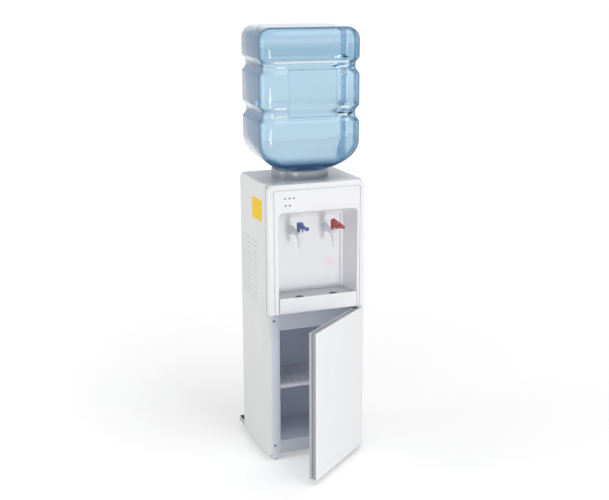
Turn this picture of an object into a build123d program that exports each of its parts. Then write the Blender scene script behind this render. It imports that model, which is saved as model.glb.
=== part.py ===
from build123d import *
import math
import os

os.makedirs("parts", exist_ok=True)

# ---------------------------------------------------------------------------
# Bottled-water cooler with a refrigerated cupboard below the dispensing bay.
# Millimetres, +Z up, -Y is the front. The origin lies on the floor under the
# middle of the whole outline, with the cupboard door standing ajar.
# ---------------------------------------------------------------------------

# Cabinet
cabinet_width = 310.0
cabinet_depth = 245.0
front_y = -42.0
floor_gap = 20.0
panel_sheet = 0.8
flange_width = 15.0
rear_flange_width = 12.0
pan_sheet = 1.5
pan_rear_reach = 55.0
pan_lip = 15.0

# Door
side_gap = 1.0
door_height = 460.0
door_bottom_z = 17.0
door_front_reach = 27.0
door_open_angle = 40.5
hinge_edge_offset = 11.4
hinge_front_offset = 11.0
door_skin_wall = 2.0
door_skin_return = 4.5
surround_depth = 10.5
surround_wall = 3.0
surround_inset = 0.8
liner_sheet = 1.5
door_liner_bulge = 9.5
gasket_lip_width = 12.0
gasket_inset = 1.0
gasket_gap = 0.3

# Front of the upper half
fascia_gap = 7.0
fascia_height = 396.0
fascia_reach = 27.0
fascia_wall = 2.5
fascia_corner = 20.0
trim_groove_inset = 18.0
trim_groove_width = 1.6
trim_groove_depth = 1.2

# Dispensing bay
bay_x = 4.0
bay_width = 252.0
bay_back_width = 220.0
bay_tank_gap = 24.0
bay_headroom = 72.0
bay_back_headroom = 47.0
bay_corner = 12.0
tap_height = 238.0
tap_spacing = 109.0
tap_setback = 15.0

# Top cover, bottle seat and bottle
cover_height = 12.0
cover_wall = 2.5
collar_radius = 88.5
collar_height = 27.0
seat_radius = 72.0
bottle_side = 306.0
bottle_corner = 42.0
bottle_turn = -5.5
bottle_wall = 1.8
bottle_body_height = 332.0
shoulder_height = 105.0
neck_radius = 27.5
bottle_base_radius = 38.0

# Cupboard
opening_width = 227.0
opening_height = 362.0
opening_sill = 43.0
cupboard_rear_gap = 65.0
frame_thickness = 2.5
liner_wall = 2.0
rear_insulation = 20.0
shelf_height = 175.0
shelf_thickness = 7.0

# Tanks
cold_tank_radius = 68.0
cold_tank_height = 146.0
tank_wall = 0.8
tank_rear_gap = 93.0
seat_offset = 29.5
cold_tube_radius = 3.2
cold_insulation = 11.3
hot_tank_radius = 48.0
hot_tank_height = 112.0
hot_tank_lift = 55.0
hot_jacket = 10.7
hose_radius = 4.5
hose_bore = 3.0

# Refrigeration unit
machine_height = 215.0
compressor_half_x = 68.0
compressor_half_y = 44.0
compressor_height = 120.0
compressor_rear_reach = 5.0
condenser_runs = 9
condenser_pitch = 40.0
condenser_half_width = 115.0
condenser_tube = 2.4
condenser_wire = 0.8
wire_pitch = 10.0
line_radius = 2.5

# Clearances
loose = 0.3
running = 0.06
snug = 0.1

# Derived places -------------------------------------------------------------
half_width = cabinet_width / 2
door_width = cabinet_width - 2 * side_gap
fascia_width = cabinet_width - 2 * side_gap
inner_x = half_width - panel_sheet
back_y = front_y + cabinet_depth
pan_top_z = floor_gap + pan_sheet
door_top_z = door_bottom_z + door_height
fascia_bottom_z = door_top_z + fascia_gap
top_z = fascia_bottom_z + fascia_height
panel_top_z = top_z - cover_height
frame_half = half_width - flange_width - 0.2
opening_half = opening_width / 2
sill_z = floor_gap + opening_sill
lintel_z = sill_z + opening_height
liner_back_y = back_y - cupboard_rear_gap
foam_back_y = liner_back_y + liner_wall + rear_insulation
machine_top_z = floor_gap + machine_height
compressor_y = back_y + compressor_rear_reach
pan_back_y = back_y + pan_rear_reach
fascia_y = front_y - fascia_reach
bay_back_y = back_y - tank_rear_gap - cold_tank_radius - bay_tank_gap
bay_depth = bay_back_y - fascia_y
tray_floor_z = fascia_bottom_z + fascia_wall
tap_z = fascia_bottom_z + tap_height
tap_y = fascia_y + tap_setback
bay_top_z = tap_z + bay_headroom
bay_back_top_z = tap_z + bay_back_headroom
tank_y = back_y - tank_rear_gap
seat_y = tank_y - seat_offset
tank_top_z = top_z - 34.0
tank_floor_z = tank_top_z - cold_tank_height
deck_z = tank_floor_z - 10.0
deck_sheet = 1.5
divider_z = fascia_bottom_z
divider_sheet = 1.2
hot_floor_z = divider_z + divider_sheet + hot_tank_lift
hot_top_z = hot_floor_z + hot_tank_height
pin_x = door_width / 2 - hinge_edge_offset
pin_y = front_y - door_front_reach + hinge_front_offset


def block(x0, x1, y0, y1, z0, z1, mode=Mode.ADD):
    """Rectangular block between two corners."""
    with Locations(((x0 + x1) / 2, (y0 + y1) / 2, (z0 + z1) / 2)):
        Box(x1 - x0, y1 - y0, z1 - z0, mode=mode)


def post(x, y, z0, z1, radius, mode=Mode.ADD):
    """Upright round bar or hole."""
    with Locations((x, y, (z0 + z1) / 2)):
        Cylinder(radius, z1 - z0, mode=mode)


def bar_y(x, z, y0, y1, radius, mode=Mode.ADD):
    """Round bar or hole along the depth of the cabinet."""
    with Locations(Location((x, (y0 + y1) / 2, z), (90, 0, 0))):
        Cylinder(radius, y1 - y0, mode=mode)


def bar_x(y, z, x0, x1, radius, mode=Mode.ADD):
    """Round bar or hole across the cabinet."""
    with Locations(Location(((x0 + x1) / 2, y, z), (0, 90, 0))):
        Cylinder(radius, x1 - x0, mode=mode)


def front_plane(y):
    """Upright plane at depth y: its own x is +X and its own y is +Z."""
    return Plane(origin=(0, y, 0), x_dir=(1, 0, 0), z_dir=(0, -1, 0))


def save(part, name):
    """Label a finished piece and write its file."""
    part.label = name
    export_step(part, f"parts/{name}.step")


# ---------------------------------------------------------------------------
# Base, feet and sheet-metal shell
# ---------------------------------------------------------------------------
leg_width = 23.0
leg_x = frame_half - leg_width / 2
pad_height = 4.0
pad_radius = 9.5
rear_leg_y = back_y - 17.0
front_leg_y = front_y + 13.5
stud_radius = 3.0
stud_height = 18.0
mount_half_x = 74.0
mount_half_y = 28.0
machine_front_y = foam_back_y + panel_sheet
screw_radius = 1.9
bracket_sheet = 2.5
lower_tab_z = door_bottom_z - 5.0
lower_screw_x = half_width - 7.0
lower_screw_ys = (front_y + 9.0, front_y + 22.0)
upper_screw_x = half_width - flange_width / 2 - 1.5
upper_screw_zs = (fascia_bottom_z + 8.0, fascia_bottom_z + 19.0)

with BuildPart() as base_pan:
    block(-inner_x, inner_x, front_y + frame_thickness, pan_back_y, floor_gap, pan_top_z)
    block(-inner_x, inner_x, pan_back_y - pan_sheet, pan_back_y, floor_gap, pan_top_z + pan_lip)
    for side in (-1, 1):
        cheek = sorted((side * inner_x, side * (inner_x - pan_sheet)))
        block(*cheek, machine_front_y, pan_back_y, floor_gap, pan_top_z + pan_lip)
        with Locations((side * leg_x, rear_leg_y, (pad_height + floor_gap) / 2)):
            Box(leg_width, leg_width, floor_gap - pad_height)
        for row in (-1, 1):
            post(side * mount_half_x, compressor_y + row * mount_half_y,
                 pan_top_z - 0.5, pan_top_z + stud_height, stud_radius)
    with Locations((0, compressor_y, pan_top_z)):
        with GridLocations(14.0, 0, 6, 1):
            Box(6.0, 50.0, 4 * pan_sheet, mode=Mode.SUBTRACT)
    for screw_y in lower_screw_ys:
        post(lower_screw_x, screw_y, floor_gap - 1, pan_top_z + 1, screw_radius + snug, Mode.SUBTRACT)
save(base_pan.part, "base_pan")

with BuildPart() as foot_pads:
    for side in (-1, 1):
        for pad_y in (front_leg_y, rear_leg_y):
            post(side * leg_x, pad_y, 0, pad_height, pad_radius)
    chamfer(foot_pads.edges().group_by(Axis.Z)[0], 0.8)
save(foot_pads.part, "foot_pads")

louvre_rows = 12
louvre_pitch = 16.4
louvre_length = 62.0
louvre_height = 6.5
louvre_out = 2.6
louvre_bottom_z = fascia_bottom_z + 21.0
louvre_columns = (front_y + 95.0, front_y + 168.0)
screw_heights = [machine_top_z + 65.0 + 180.0 * row for row in range(4)]
screw_x = half_width - rear_flange_width * 0.62

for side, panel_name in ((-1, "left_side_panel"), (1, "right_side_panel")):
    outer = side * half_width
    inner = side * inner_x
    with BuildPart() as side_panel:
        block(*sorted((inner, outer)), front_y, back_y, floor_gap, panel_top_z)
        block(*sorted((side * (half_width - flange_width), outer)),
              front_y, front_y + panel_sheet, floor_gap, panel_top_z)
        block(*sorted((side * (half_width - rear_flange_width), outer)),
              back_y - panel_sheet, back_y, machine_top_z, panel_top_z)
        for column_y in louvre_columns:
            with BuildSketch(front_plane(column_y + louvre_length)):
                for row in range(louvre_rows):
                    z = louvre_bottom_z + row * louvre_pitch
                    Polygon((outer, z), (outer + side * louvre_out, z),
                            (outer, z + louvre_height), align=None)
            extrude(amount=louvre_length)
            with BuildSketch(front_plane(column_y + louvre_length - panel_sheet)):
                for row in range(louvre_rows):
                    z = louvre_bottom_z + row * louvre_pitch
                    hood = outer + side * (louvre_out - panel_sheet)
                    behind = inner - side * panel_sheet
                    Polygon((behind, z - 0.01), (hood, z - 0.01),
                            (outer, z + louvre_height - 2.4), (behind, z + louvre_height - 2.4),
                            align=None)
            extrude(amount=louvre_length - 2 * panel_sheet, mode=Mode.SUBTRACT)
        for screw_z in screw_heights:
            bar_y(side * screw_x, screw_z, back_y - 2, back_y + 1, screw_radius + snug, Mode.SUBTRACT)
        if side == 1:
            for screw_z in upper_screw_zs:
                bar_y(upper_screw_x, screw_z, front_y - 1, front_y + 2, screw_radius + snug,
                      Mode.SUBTRACT)
    save(side_panel.part, panel_name)

# Back panel: flat sheet above, stepped forward over the machine space below
back_half = half_width - 5.0
lower_half = half_width - rear_flange_width - 1.5
control_height = 205.0
control_z = machine_top_z + control_height
cold_switch_x = -100.0
hot_switch_x = -66.0
knob_x = -20.0
gland_x = 80.0
switch_half_x = 9.3
switch_half_z = 11.5
spindle_radius = 3.0
gland_thread = 6.0
drain_z = divider_z + 22.0
drain_radius = 5.0
suction_x = -100.0
suction_z = pan_top_z + 88.0
capillary_z = pan_top_z + 30.0
drier_x = -half_width + 18.0

with BuildPart() as back_panel:
    block(-back_half, back_half, back_y, back_y + panel_sheet, machine_top_z, panel_top_z)
    block(-lower_half, lower_half, foam_back_y, back_y + panel_sheet,
          machine_top_z, machine_top_z + panel_sheet)
    block(-lower_half, lower_half, foam_back_y, machine_front_y,
          pan_top_z, machine_top_z + panel_sheet)
    with Locations((0, back_y, top_z - 95.0)):
        with GridLocations(18.0, 0, 11, 1):
            Box(5.0, 4.0, 80.0, mode=Mode.SUBTRACT)
    for switch_x in (cold_switch_x, hot_switch_x):
        block(switch_x - switch_half_x - snug, switch_x + switch_half_x + snug, back_y - 1, back_y + 2,
              control_z - switch_half_z - snug, control_z + switch_half_z + snug, Mode.SUBTRACT)
    bar_y(knob_x, control_z, back_y - 1, back_y + 2, spindle_radius + 1, Mode.SUBTRACT)
    bar_y(gland_x, control_z, back_y - 1, back_y + 2, gland_thread + snug, Mode.SUBTRACT)
    bar_y(0, drain_z, back_y - 1, back_y + 2, drain_radius + loose, Mode.SUBTRACT)
    for tube_x, tube_z in ((suction_x, suction_z), (drier_x, capillary_z)):
        bar_y(tube_x, tube_z, foam_back_y - 1, machine_front_y + 1, line_radius + loose, Mode.SUBTRACT)
    for side in (-1, 1):
        for screw_z in screw_heights:
            bar_y(side * screw_x, screw_z, back_y - 1, back_y + 2, screw_radius + snug, Mode.SUBTRACT)
save(back_panel.part, "back_panel")

# Screws: eight in the back panel, two in each hinge bracket
head_radius = 3.8
head_height = 2.2

with BuildPart() as screws:
    for side in (-1, 1):
        for screw_z in screw_heights:
            bar_y(side * screw_x, screw_z, back_y - panel_sheet, back_y + panel_sheet, screw_radius)
            bar_y(side * screw_x, screw_z, back_y + panel_sheet, back_y + panel_sheet + head_height,
                  head_radius)
    for screw_z in upper_screw_zs:
        bar_y(upper_screw_x, screw_z, front_y - bracket_sheet, front_y + panel_sheet, screw_radius)
        bar_y(upper_screw_x, screw_z, front_y - bracket_sheet - head_height, front_y - bracket_sheet,
              head_radius)
    for screw_y in lower_screw_ys:
        post(lower_screw_x, screw_y, lower_tab_z, pan_top_z, screw_radius)
        post(lower_screw_x, screw_y, lower_tab_z - head_height, lower_tab_z, head_radius)
save(screws.part, "screws")

# ---------------------------------------------------------------------------
# Top cover, bottle seat and feed probe
# ---------------------------------------------------------------------------
cover_hole = collar_radius - 5.5

with BuildPart() as top_cover:
    with BuildSketch(Plane.XY.offset(panel_top_z)) as cover_plan:
        with Locations((0, (front_y + back_y) / 2)):
            Rectangle(cabinet_width, cabinet_depth)
        fillet(cover_plan.vertices().group_by(Axis.Y)[-1], 14.0)
    extrude(amount=cover_height)
    rim = top_cover.edges().group_by(Axis.Z)[-1].sort_by(Axis.Y)[1:]
    fillet(rim, 6.0)
    with BuildSketch(Plane.XY.offset(panel_top_z)) as cover_inside:
        with Locations((0, (front_y + back_y) / 2)):
            Rectangle(cabinet_width - 2 * cover_wall, cabinet_depth - 2 * cover_wall)
        fillet(cover_inside.vertices().group_by(Axis.Y)[-1], 14.0 - cover_wall)
    extrude(amount=cover_height - 2 * cover_wall, mode=Mode.SUBTRACT)
    post(0, seat_y, panel_top_z, top_z + 1, cover_hole, Mode.SUBTRACT)
    post(0, seat_y, panel_top_z, top_z - cover_wall, cover_hole + 10.0, Mode.SUBTRACT)
save(top_cover.part, "top_cover")

spout_outer = 36.4
spout_inner = 34.0
ledge_radius = 28.0
spout_bottom_z = tank_top_z - 10.0
ledge_z = spout_bottom_z + 2.5
lip_z = top_z + collar_height
seat_axis = Axis((0, seat_y, 0), (0, 0, 1))
seat_plane = front_plane(seat_y)

with BuildPart() as bottle_collar:
    with BuildSketch(seat_plane) as collar_section:
        with BuildLine():
            Polyline((collar_radius - 2.5, top_z), (collar_radius, top_z),
                     (collar_radius, lip_z - 8.0))
            RadiusArc((collar_radius, lip_z - 8.0), (collar_radius - 8.0, lip_z), -8.0)
            Polyline((collar_radius - 8.0, lip_z), (seat_radius, lip_z),
                     (50.0, top_z + 5.0), (spout_inner, top_z - 17.0),
                     (spout_inner, ledge_z), (ledge_radius, ledge_z),
                     (ledge_radius, spout_bottom_z), (spout_outer, spout_bottom_z),
                     (spout_outer, top_z - 18.0), (52.0, top_z + 3.6),
                     (seat_radius + 1.2, lip_z - 2.6), (collar_radius - 8.6, lip_z - 2.6),
                     (collar_radius - 2.5, lip_z - 8.6), (collar_radius - 2.5, top_z))
        make_face()
    revolve(axis=seat_axis)
    with BuildSketch(seat_plane):
        with Locations((cover_hole - 1.7, (lip_z - 2.0 + panel_top_z + 3.0) / 2)):
            Rectangle(2.4, lip_z - 2.0 - panel_top_z - 3.0)
    revolve(axis=seat_axis)
save(bottle_collar.part, "bottle_collar")

probe_radius = 7.5
probe_bore = 4.5
probe_top_z = top_z + 27.0
baffle_top_z = tank_floor_z + 70.0

with BuildPart() as feed_probe:
    post(0, seat_y, ledge_z, ledge_z + 3.0, spout_inner - loose)
    post(0, seat_y, ledge_z, probe_top_z - 16.0, probe_radius)
    with Locations((0, seat_y, probe_top_z - 8.0)):
        Cone(probe_radius, 2.0, 16.0)
    post(0, seat_y, baffle_top_z, ledge_z, probe_radius - 1.5)
    post(0, seat_y, baffle_top_z, probe_top_z - 18.0, probe_bore, Mode.SUBTRACT)
    with Locations((0, seat_y, ledge_z)):
        with PolarLocations(20.0, 4):
            Cylinder(5.0, 12.0, mode=Mode.SUBTRACT)
    for slot_turn in (0, 90):
        with Locations(Location((0, seat_y, probe_top_z - 26.0), (90, 0, slot_turn))):
            Cylinder(2.5, 4 * probe_radius, mode=Mode.SUBTRACT)
save(feed_probe.part, "feed_probe")

# ---------------------------------------------------------------------------
# Bottle and its cap
# ---------------------------------------------------------------------------
seat_clearance = 0.5
shoulder_fraction = math.sqrt(1 - (seat_radius / (bottle_side / 2)) ** 2)
body_bottom_z = lip_z + seat_clearance + shoulder_height * shoulder_fraction
bottle_top_z = body_bottom_z + bottle_body_height
neck_bottom_z = top_z - 20.0
groove_heights = (220.0, 80.0)
groove_depth = 10.0
groove_flat = 6.0
groove_mouth = 26.0


def bottle_plane(z):
    """Level plane on the bottle's axis, turned as the bottle stands."""
    turn = math.radians(bottle_turn)
    return Plane(origin=(0, seat_y, z), x_dir=(math.cos(turn), math.sin(turn), 0), z_dir=(0, 0, 1))


def bottle_form(inset):
    """Bottle body with its shoulder and grooves, every face moved inward by inset."""
    half = bottle_side / 2
    waist = half - groove_depth
    corner_share = bottle_corner / half
    base_z = body_bottom_z + groove_heights[0] + groove_mouth
    with BuildPart() as form:
        with BuildSketch(bottle_plane(base_z)):
            RectangleRounded(2 * (half - inset), 2 * (half - inset), bottle_corner - inset)
        extrude(amount=bottle_top_z - inset - base_z)
        fillet(form.edges().group_by(Axis.Z)[-1], bottle_base_radius - inset)
        for groove_height in groove_heights:
            groove_z = body_bottom_z + groove_height
            for rise, reach in ((groove_mouth, half), (groove_flat, waist),
                                (-groove_flat, waist), (-groove_mouth, half)):
                with BuildSketch(bottle_plane(groove_z + rise)):
                    RectangleRounded(2 * (reach - inset), 2 * (reach - inset), corner_share * reach - inset)
        for angle in (0.0, 16.0, 31.0, 45.0, 58.0, 69.0, 79.0):
            lean = math.radians(angle)
            reach = half * math.cos(lean)
            roundness = min(1.0, math.sin(lean) / math.sin(math.radians(58.0))) ** 1.6
            corner = reach * (corner_share + (0.999 - corner_share) * roundness)
            z = body_bottom_z - shoulder_height * math.sin(lean)
            with BuildSketch(bottle_plane(z + inset * math.sin(lean))):
                RectangleRounded(2 * (reach - inset), 2 * (reach - inset), corner - inset)
        loft(ruled=True)
    return form.part


bottle_outside = bottle_form(0.0)
bottle_inside = bottle_form(bottle_wall)
neck_top_z = body_bottom_z - shoulder_height * math.sin(math.radians(79.0)) + 6.0

with BuildPart() as bottle:
    add(bottle_outside)
    post(0, seat_y, neck_bottom_z, neck_top_z, neck_radius)
    add(bottle_inside, mode=Mode.SUBTRACT)
    post(0, seat_y, neck_bottom_z, neck_top_z + 4.0, neck_radius - bottle_wall, Mode.SUBTRACT)
save(bottle.part, "bottle")

cap_wall = 1.4
with BuildPart() as bottle_cap:
    post(0, seat_y, neck_bottom_z - 2.0, neck_bottom_z + 20.0, neck_radius + loose / 2 + cap_wall)
    post(0, seat_y, neck_bottom_z, neck_bottom_z + 20.0, neck_radius + loose / 2, Mode.SUBTRACT)
    post(0, seat_y, neck_bottom_z - 3.0, neck_bottom_z, probe_radius + 1.5, Mode.SUBTRACT)
save(bottle_cap.part, "bottle_cap")

# ---------------------------------------------------------------------------
# Front fascia with the dispensing bay, drip tray and grille
# ---------------------------------------------------------------------------
fascia_half = fascia_width / 2
rim_half = bay_width / 2
back_half_bay = bay_back_width / 2
lamp_radius = 2.6
lamp_pitch = 13.5
upper_lamp_count = 3
lower_lamp_count = 2
lamp_rows = ((-102.0, top_z - 41.0, upper_lamp_count), (-101.0, top_z - 62.0, lower_lamp_count))
shank_radius = 7.0
tap_xs = (bay_x - tap_spacing / 2, bay_x + tap_spacing / 2)


def bay_section(y, grow, bottom, top):
    """Rounded rectangle across the bay at depth y, grown outward by a wall."""
    share = (y - fascia_y) / bay_depth
    half = rim_half + (back_half_bay - rim_half) * share + grow
    crown = top + grow
    with BuildSketch(front_plane(y)) as section:
        with Locations((bay_x, (bottom + crown) / 2)):
            Rectangle(2 * half, crown - bottom)
        fillet(section.vertices().group_by(Axis.Y)[-1], bay_corner + grow)
    return section.sketch


bay_shell_front = bay_section(fascia_y + fascia_wall, fascia_wall, fascia_bottom_z,
                              bay_top_z - (bay_headroom - bay_back_headroom) * fascia_wall / bay_depth)
bay_shell_back = bay_section(bay_back_y + fascia_wall, fascia_wall, fascia_bottom_z, bay_back_top_z)
bay_front = bay_section(fascia_y, 0.0, tray_floor_z, bay_top_z)
bay_back = bay_section(bay_back_y, 0.0, tray_floor_z, bay_back_top_z)
fascia_plan_centre = (fascia_bottom_z + top_z) / 2

with BuildPart() as front_fascia:
    with BuildSketch(front_plane(front_y)) as fascia_outline:
        with Locations((0, fascia_plan_centre)):
            Rectangle(fascia_width, fascia_height)
        fillet(fascia_outline.vertices().group_by(Axis.Y)[-1], fascia_corner)
    extrude(amount=fascia_reach)
    front_rim = front_fascia.faces().sort_by(Axis.Y)[0].outer_wire().edges()
    fillet(front_rim.sort_by(Axis.Z)[1:], 4.0)
    with BuildSketch(front_plane(front_y)) as fascia_inside:
        with Locations((0, fascia_plan_centre - fascia_wall)):
            Rectangle(fascia_width - 2 * fascia_wall, fascia_height)
        fillet(fascia_inside.vertices().group_by(Axis.Y)[-1], fascia_corner - fascia_wall)
    extrude(amount=fascia_reach - fascia_wall, mode=Mode.SUBTRACT)
    loft(sections=[bay_shell_front.face(), bay_shell_back.face()])
    loft(sections=[bay_front.face(), bay_back.face()], mode=Mode.SUBTRACT)
    block(bay_x - rim_half, bay_x + rim_half, fascia_y - 1, fascia_y + fascia_wall + loose,
          fascia_bottom_z - 1, tray_floor_z + 1, Mode.SUBTRACT)
    with BuildSketch(front_plane(fascia_y - 1)) as groove:
        groove_half = fascia_half - trim_groove_inset
        groove_top = top_z - trim_groove_inset
        with Locations((0, (fascia_bottom_z - 20.0 + groove_top) / 2)):
            RectangleRounded(2 * groove_half, groove_top - fascia_bottom_z + 20.0, 14.0)
            RectangleRounded(2 * (groove_half - trim_groove_width),
                             groove_top - fascia_bottom_z + 20.0 - 2 * trim_groove_width,
                             14.0 - trim_groove_width, mode=Mode.SUBTRACT)
    extrude(amount=-1 - trim_groove_depth, mode=Mode.SUBTRACT)
    for first_x, lamp_z, count in lamp_rows:
        for index in range(count):
            bar_y(first_x + index * lamp_pitch, lamp_z, fascia_y - 1, fascia_y + fascia_wall + 1,
                  lamp_radius + snug, Mode.SUBTRACT)
    for tap_x in tap_xs:
        bar_y(tap_x, tap_z, bay_back_y - 1, bay_back_y + fascia_wall + 1, shank_radius + loose,
              Mode.SUBTRACT)
save(front_fascia.part, "front_fascia")

with BuildPart() as lamp_lenses:
    for first_x, lamp_z, count in lamp_rows:
        for index in range(count):
            lamp_x = first_x + index * lamp_pitch
            bar_y(lamp_x, lamp_z, fascia_y - 0.6, fascia_y + fascia_wall, lamp_radius)
            bar_y(lamp_x, lamp_z, fascia_y + fascia_wall, fascia_y + fascia_wall + 1.5,
                  lamp_radius + 1.0)
    chamfer(lamp_lenses.edges().group_by(Axis.Y)[0], 0.5)
save(lamp_lenses.part, "lamp_lenses")

tray_clearance = 0.6
tray_wall = 2.0
tray_lip_z = tray_floor_z + 45.5
grille_top_z = tray_lip_z - 4.0
grille_thickness = 4.0
tray_front_y = fascia_y + fascia_wall
tray_back_y = bay_back_y - 1.5
cup_hole_radius = 12.0
cup_hole_y = fascia_y + 18.0


def tray_plan(z, inset):
    """Plan of the tray at one level: it narrows toward the back as the bay does."""
    sides = []
    for y in (tray_front_y + inset, tray_back_y - inset):
        share = (y - fascia_y) / bay_depth
        sides.append(rim_half + (back_half_bay - rim_half) * share - tray_clearance - inset)
    front_half, rear_half = sides
    with BuildSketch(Plane.XY.offset(z)) as plan:
        Polygon((bay_x - front_half, tray_front_y + inset), (bay_x + front_half, tray_front_y + inset),
                (bay_x + rear_half, tray_back_y - inset), (bay_x - rear_half, tray_back_y - inset),
                align=None)
    return plan.sketch


with BuildPart() as drip_tray:
    extrude(tray_plan(tray_floor_z + loose, 0.0), amount=grille_top_z - grille_thickness
            - tray_floor_z - loose)
    extrude(tray_plan(tray_floor_z + loose + tray_wall, tray_wall), amount=60.0, mode=Mode.SUBTRACT)
    with BuildSketch(front_plane(tray_front_y)) as tray_face:
        with Locations((bay_x, (fascia_bottom_z + loose + tray_lip_z) / 2)):
            RectangleRounded(2 * (rim_half - tray_clearance), tray_lip_z - fascia_bottom_z - loose, 5.0)
    extrude(amount=fascia_wall)
    fillet(drip_tray.faces().sort_by(Axis.Y)[0].edges(), 1.2)
save(drip_tray.part, "drip_tray")

with BuildPart() as drip_grille:
    grille_front = tray_plan(grille_top_z - grille_thickness, loose)
    extrude(grille_front, amount=grille_thickness)
    fillet(drip_grille.edges().group_by(Axis.Z)[-1], 1.0)
    for tap_x in tap_xs:
        with Locations((tap_x, cup_hole_y, grille_top_z - 1.0)):
            Cone(cup_hole_radius - 1.5, cup_hole_radius + 0.5, 2.0, mode=Mode.SUBTRACT)
        post(tap_x, cup_hole_y, grille_top_z - 2 * grille_thickness, grille_top_z,
             cup_hole_radius - 2.0, Mode.SUBTRACT)
        block(tap_x - cup_hole_radius + 1, tap_x + cup_hole_radius - 1, cup_hole_y - 1, cup_hole_y + 1,
              grille_top_z - grille_thickness, grille_top_z - 2.2)
        block(tap_x - 1, tap_x + 1, cup_hole_y - cup_hole_radius + 1, cup_hole_y + cup_hole_radius - 1,
              grille_top_z - grille_thickness, grille_top_z - 2.2)
save(drip_grille.part, "drip_grille")

# ---------------------------------------------------------------------------
# Taps: body, valve stem, lever, nut and the catch on the hot lever
# ---------------------------------------------------------------------------
barrel_radius = 9.5
flange_radius = 14.0
valve_radius = 10.0
valve_top_z = tap_z + 9.0
chamber_floor_z = tap_z - 10.0
chamber_radius = 7.0
spout_tip_z = tap_z - 42.0
stem_radius = 2.0
pivot_offset = 6.0
pivot_z = tap_z + 16.0
pivot_radius = 1.5
ear_half = 3.3
lever_half = 7.5
lever_bottom_z = valve_top_z + 2.5
lever_top_z = tap_z + 38.0
slot_half = 3.6
slot_top_z = tap_z + 27.0
stem_head_z = tap_z + 20.2
stem_head_height = 2.6
elbow_y = bay_back_y + 14.0
elbow_radius = 5.5
elbow_bottom_z = tap_z - 13.0
catch_half = 3.4
catch_travel = 2.5

for tap_x, tap_name in zip(tap_xs, ("cold", "hot")):
    pivot_y = tap_y - pivot_offset
    with BuildPart() as tap_body:
        bar_y(tap_x, tap_z, tap_y, bay_back_y, barrel_radius)
        bar_y(tap_x, tap_z, bay_back_y - 4.0, bay_back_y, flange_radius)
        bar_y(tap_x, tap_z, bay_back_y, elbow_y, shank_radius)
        post(tap_x, elbow_y, elbow_bottom_z, tap_z + 4.0, elbow_radius)
        post(tap_x, tap_y, chamber_floor_z - 4.0, valve_top_z, valve_radius)
        with Locations((tap_x, tap_y, (spout_tip_z + chamber_floor_z) / 2)):
            Cone(4.8, 7.5, chamber_floor_z - spout_tip_z)
        post(tap_x, tap_y, chamber_floor_z, valve_top_z - 4.0, chamber_radius, Mode.SUBTRACT)
        post(tap_x, tap_y, valve_top_z - 5.0, valve_top_z + 1, stem_radius + snug, Mode.SUBTRACT)
        post(tap_x, tap_y, spout_tip_z - 1, chamber_floor_z + 1, 3.0, Mode.SUBTRACT)
        bar_y(tap_x, tap_z - 2.0, tap_y, elbow_y, 3.0, Mode.SUBTRACT)
        post(tap_x, elbow_y, elbow_bottom_z - 1, tap_z, 3.0, Mode.SUBTRACT)
        block(tap_x - ear_half, tap_x + ear_half, pivot_y - 2.2, pivot_y + 2.2,
              valve_top_z - 0.5, pivot_z + 3.2)
        bar_x(pivot_y, pivot_z, tap_x - lever_half + 0.6, tap_x + lever_half - 0.6, pivot_radius)
    save(tap_body.part, f"{tap_name}_tap_body")

    with BuildPart() as valve_stem:
        post(tap_x, tap_y, chamber_floor_z + 0.2, chamber_floor_z + 6.0, chamber_radius - 0.5)
        post(tap_x, tap_y, chamber_floor_z + 6.0, stem_head_z, stem_radius)
        post(tap_x, tap_y, stem_head_z, stem_head_z + stem_head_height, stem_radius + 1.1)
        chamfer(valve_stem.edges().group_by(Axis.Z)[0], 1.5)
    save(valve_stem.part, f"{tap_name}_valve_stem")

    arm_reach = 56.0 if tap_name == "cold" else 70.0
    tip_height = 9.0
    block_front = tap_y - lever_half - 2.0
    block_rear = tap_y + lever_half
    with BuildPart() as tap_lever:
        side_plane = Plane(origin=(tap_x - lever_half, 0, 0), x_dir=(0, -1, 0), z_dir=(-1, 0, 0))
        with BuildSketch(side_plane.offset(-2 * lever_half)) as lever_side:
            with BuildLine():
                Polyline((-block_rear, lever_bottom_z), (-block_front, lever_bottom_z),
                         (-block_front + arm_reach - 6.0, lever_top_z - tip_height - 3.0),
                         (-block_front + arm_reach, lever_top_z - tip_height),
                         (-block_front + arm_reach, lever_top_z - 2.5),
                         (-block_front + arm_reach - 4.0, lever_top_z - 1.0),
                         (-block_front, lever_top_z), (-block_rear, lever_top_z),
                         (-block_rear, lever_bottom_z))
            make_face()
        extrude(amount=2 * lever_half)
        fillet(tap_lever.edges().filter_by(Axis.X).sort_by(Axis.Y)[:2], 1.5)
        block(tap_x - slot_half, tap_x + slot_half, pivot_y - 4.5, block_rear + 1,
              lever_bottom_z - 1, slot_top_z, Mode.SUBTRACT)
        bar_x(pivot_y, pivot_z, tap_x - lever_half - 1, tap_x + lever_half + 1,
              pivot_radius + running, Mode.SUBTRACT)
        for cheek_side in (-1, 1):
            rib = sorted((tap_x + cheek_side * (stem_radius + loose), tap_x + cheek_side * slot_half))
            block(*rib, tap_y - 0.8, tap_y + 0.8, stem_head_z - 3.0, stem_head_z - 0.6)
        if tap_name == "hot":
            block(tap_x - catch_half - snug, tap_x + catch_half + snug, tap_y - 5.0 - snug,
                  tap_y + 4.0 + catch_travel + loose, lever_top_z - 3.0, lever_top_z + 1, Mode.SUBTRACT)
    save(tap_lever.part, f"{tap_name}_tap_lever")

with BuildPart() as hot_safety_catch:
    catch_x = tap_xs[1]
    block(catch_x - catch_half, catch_x + catch_half, tap_y - 5.0, tap_y + 4.0,
          lever_top_z - 3.0 + snug, lever_top_z + 4.0)
    fillet(hot_safety_catch.edges().group_by(Axis.Z)[-1], 1.5)
save(hot_safety_catch.part, "hot_safety_catch")

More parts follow.
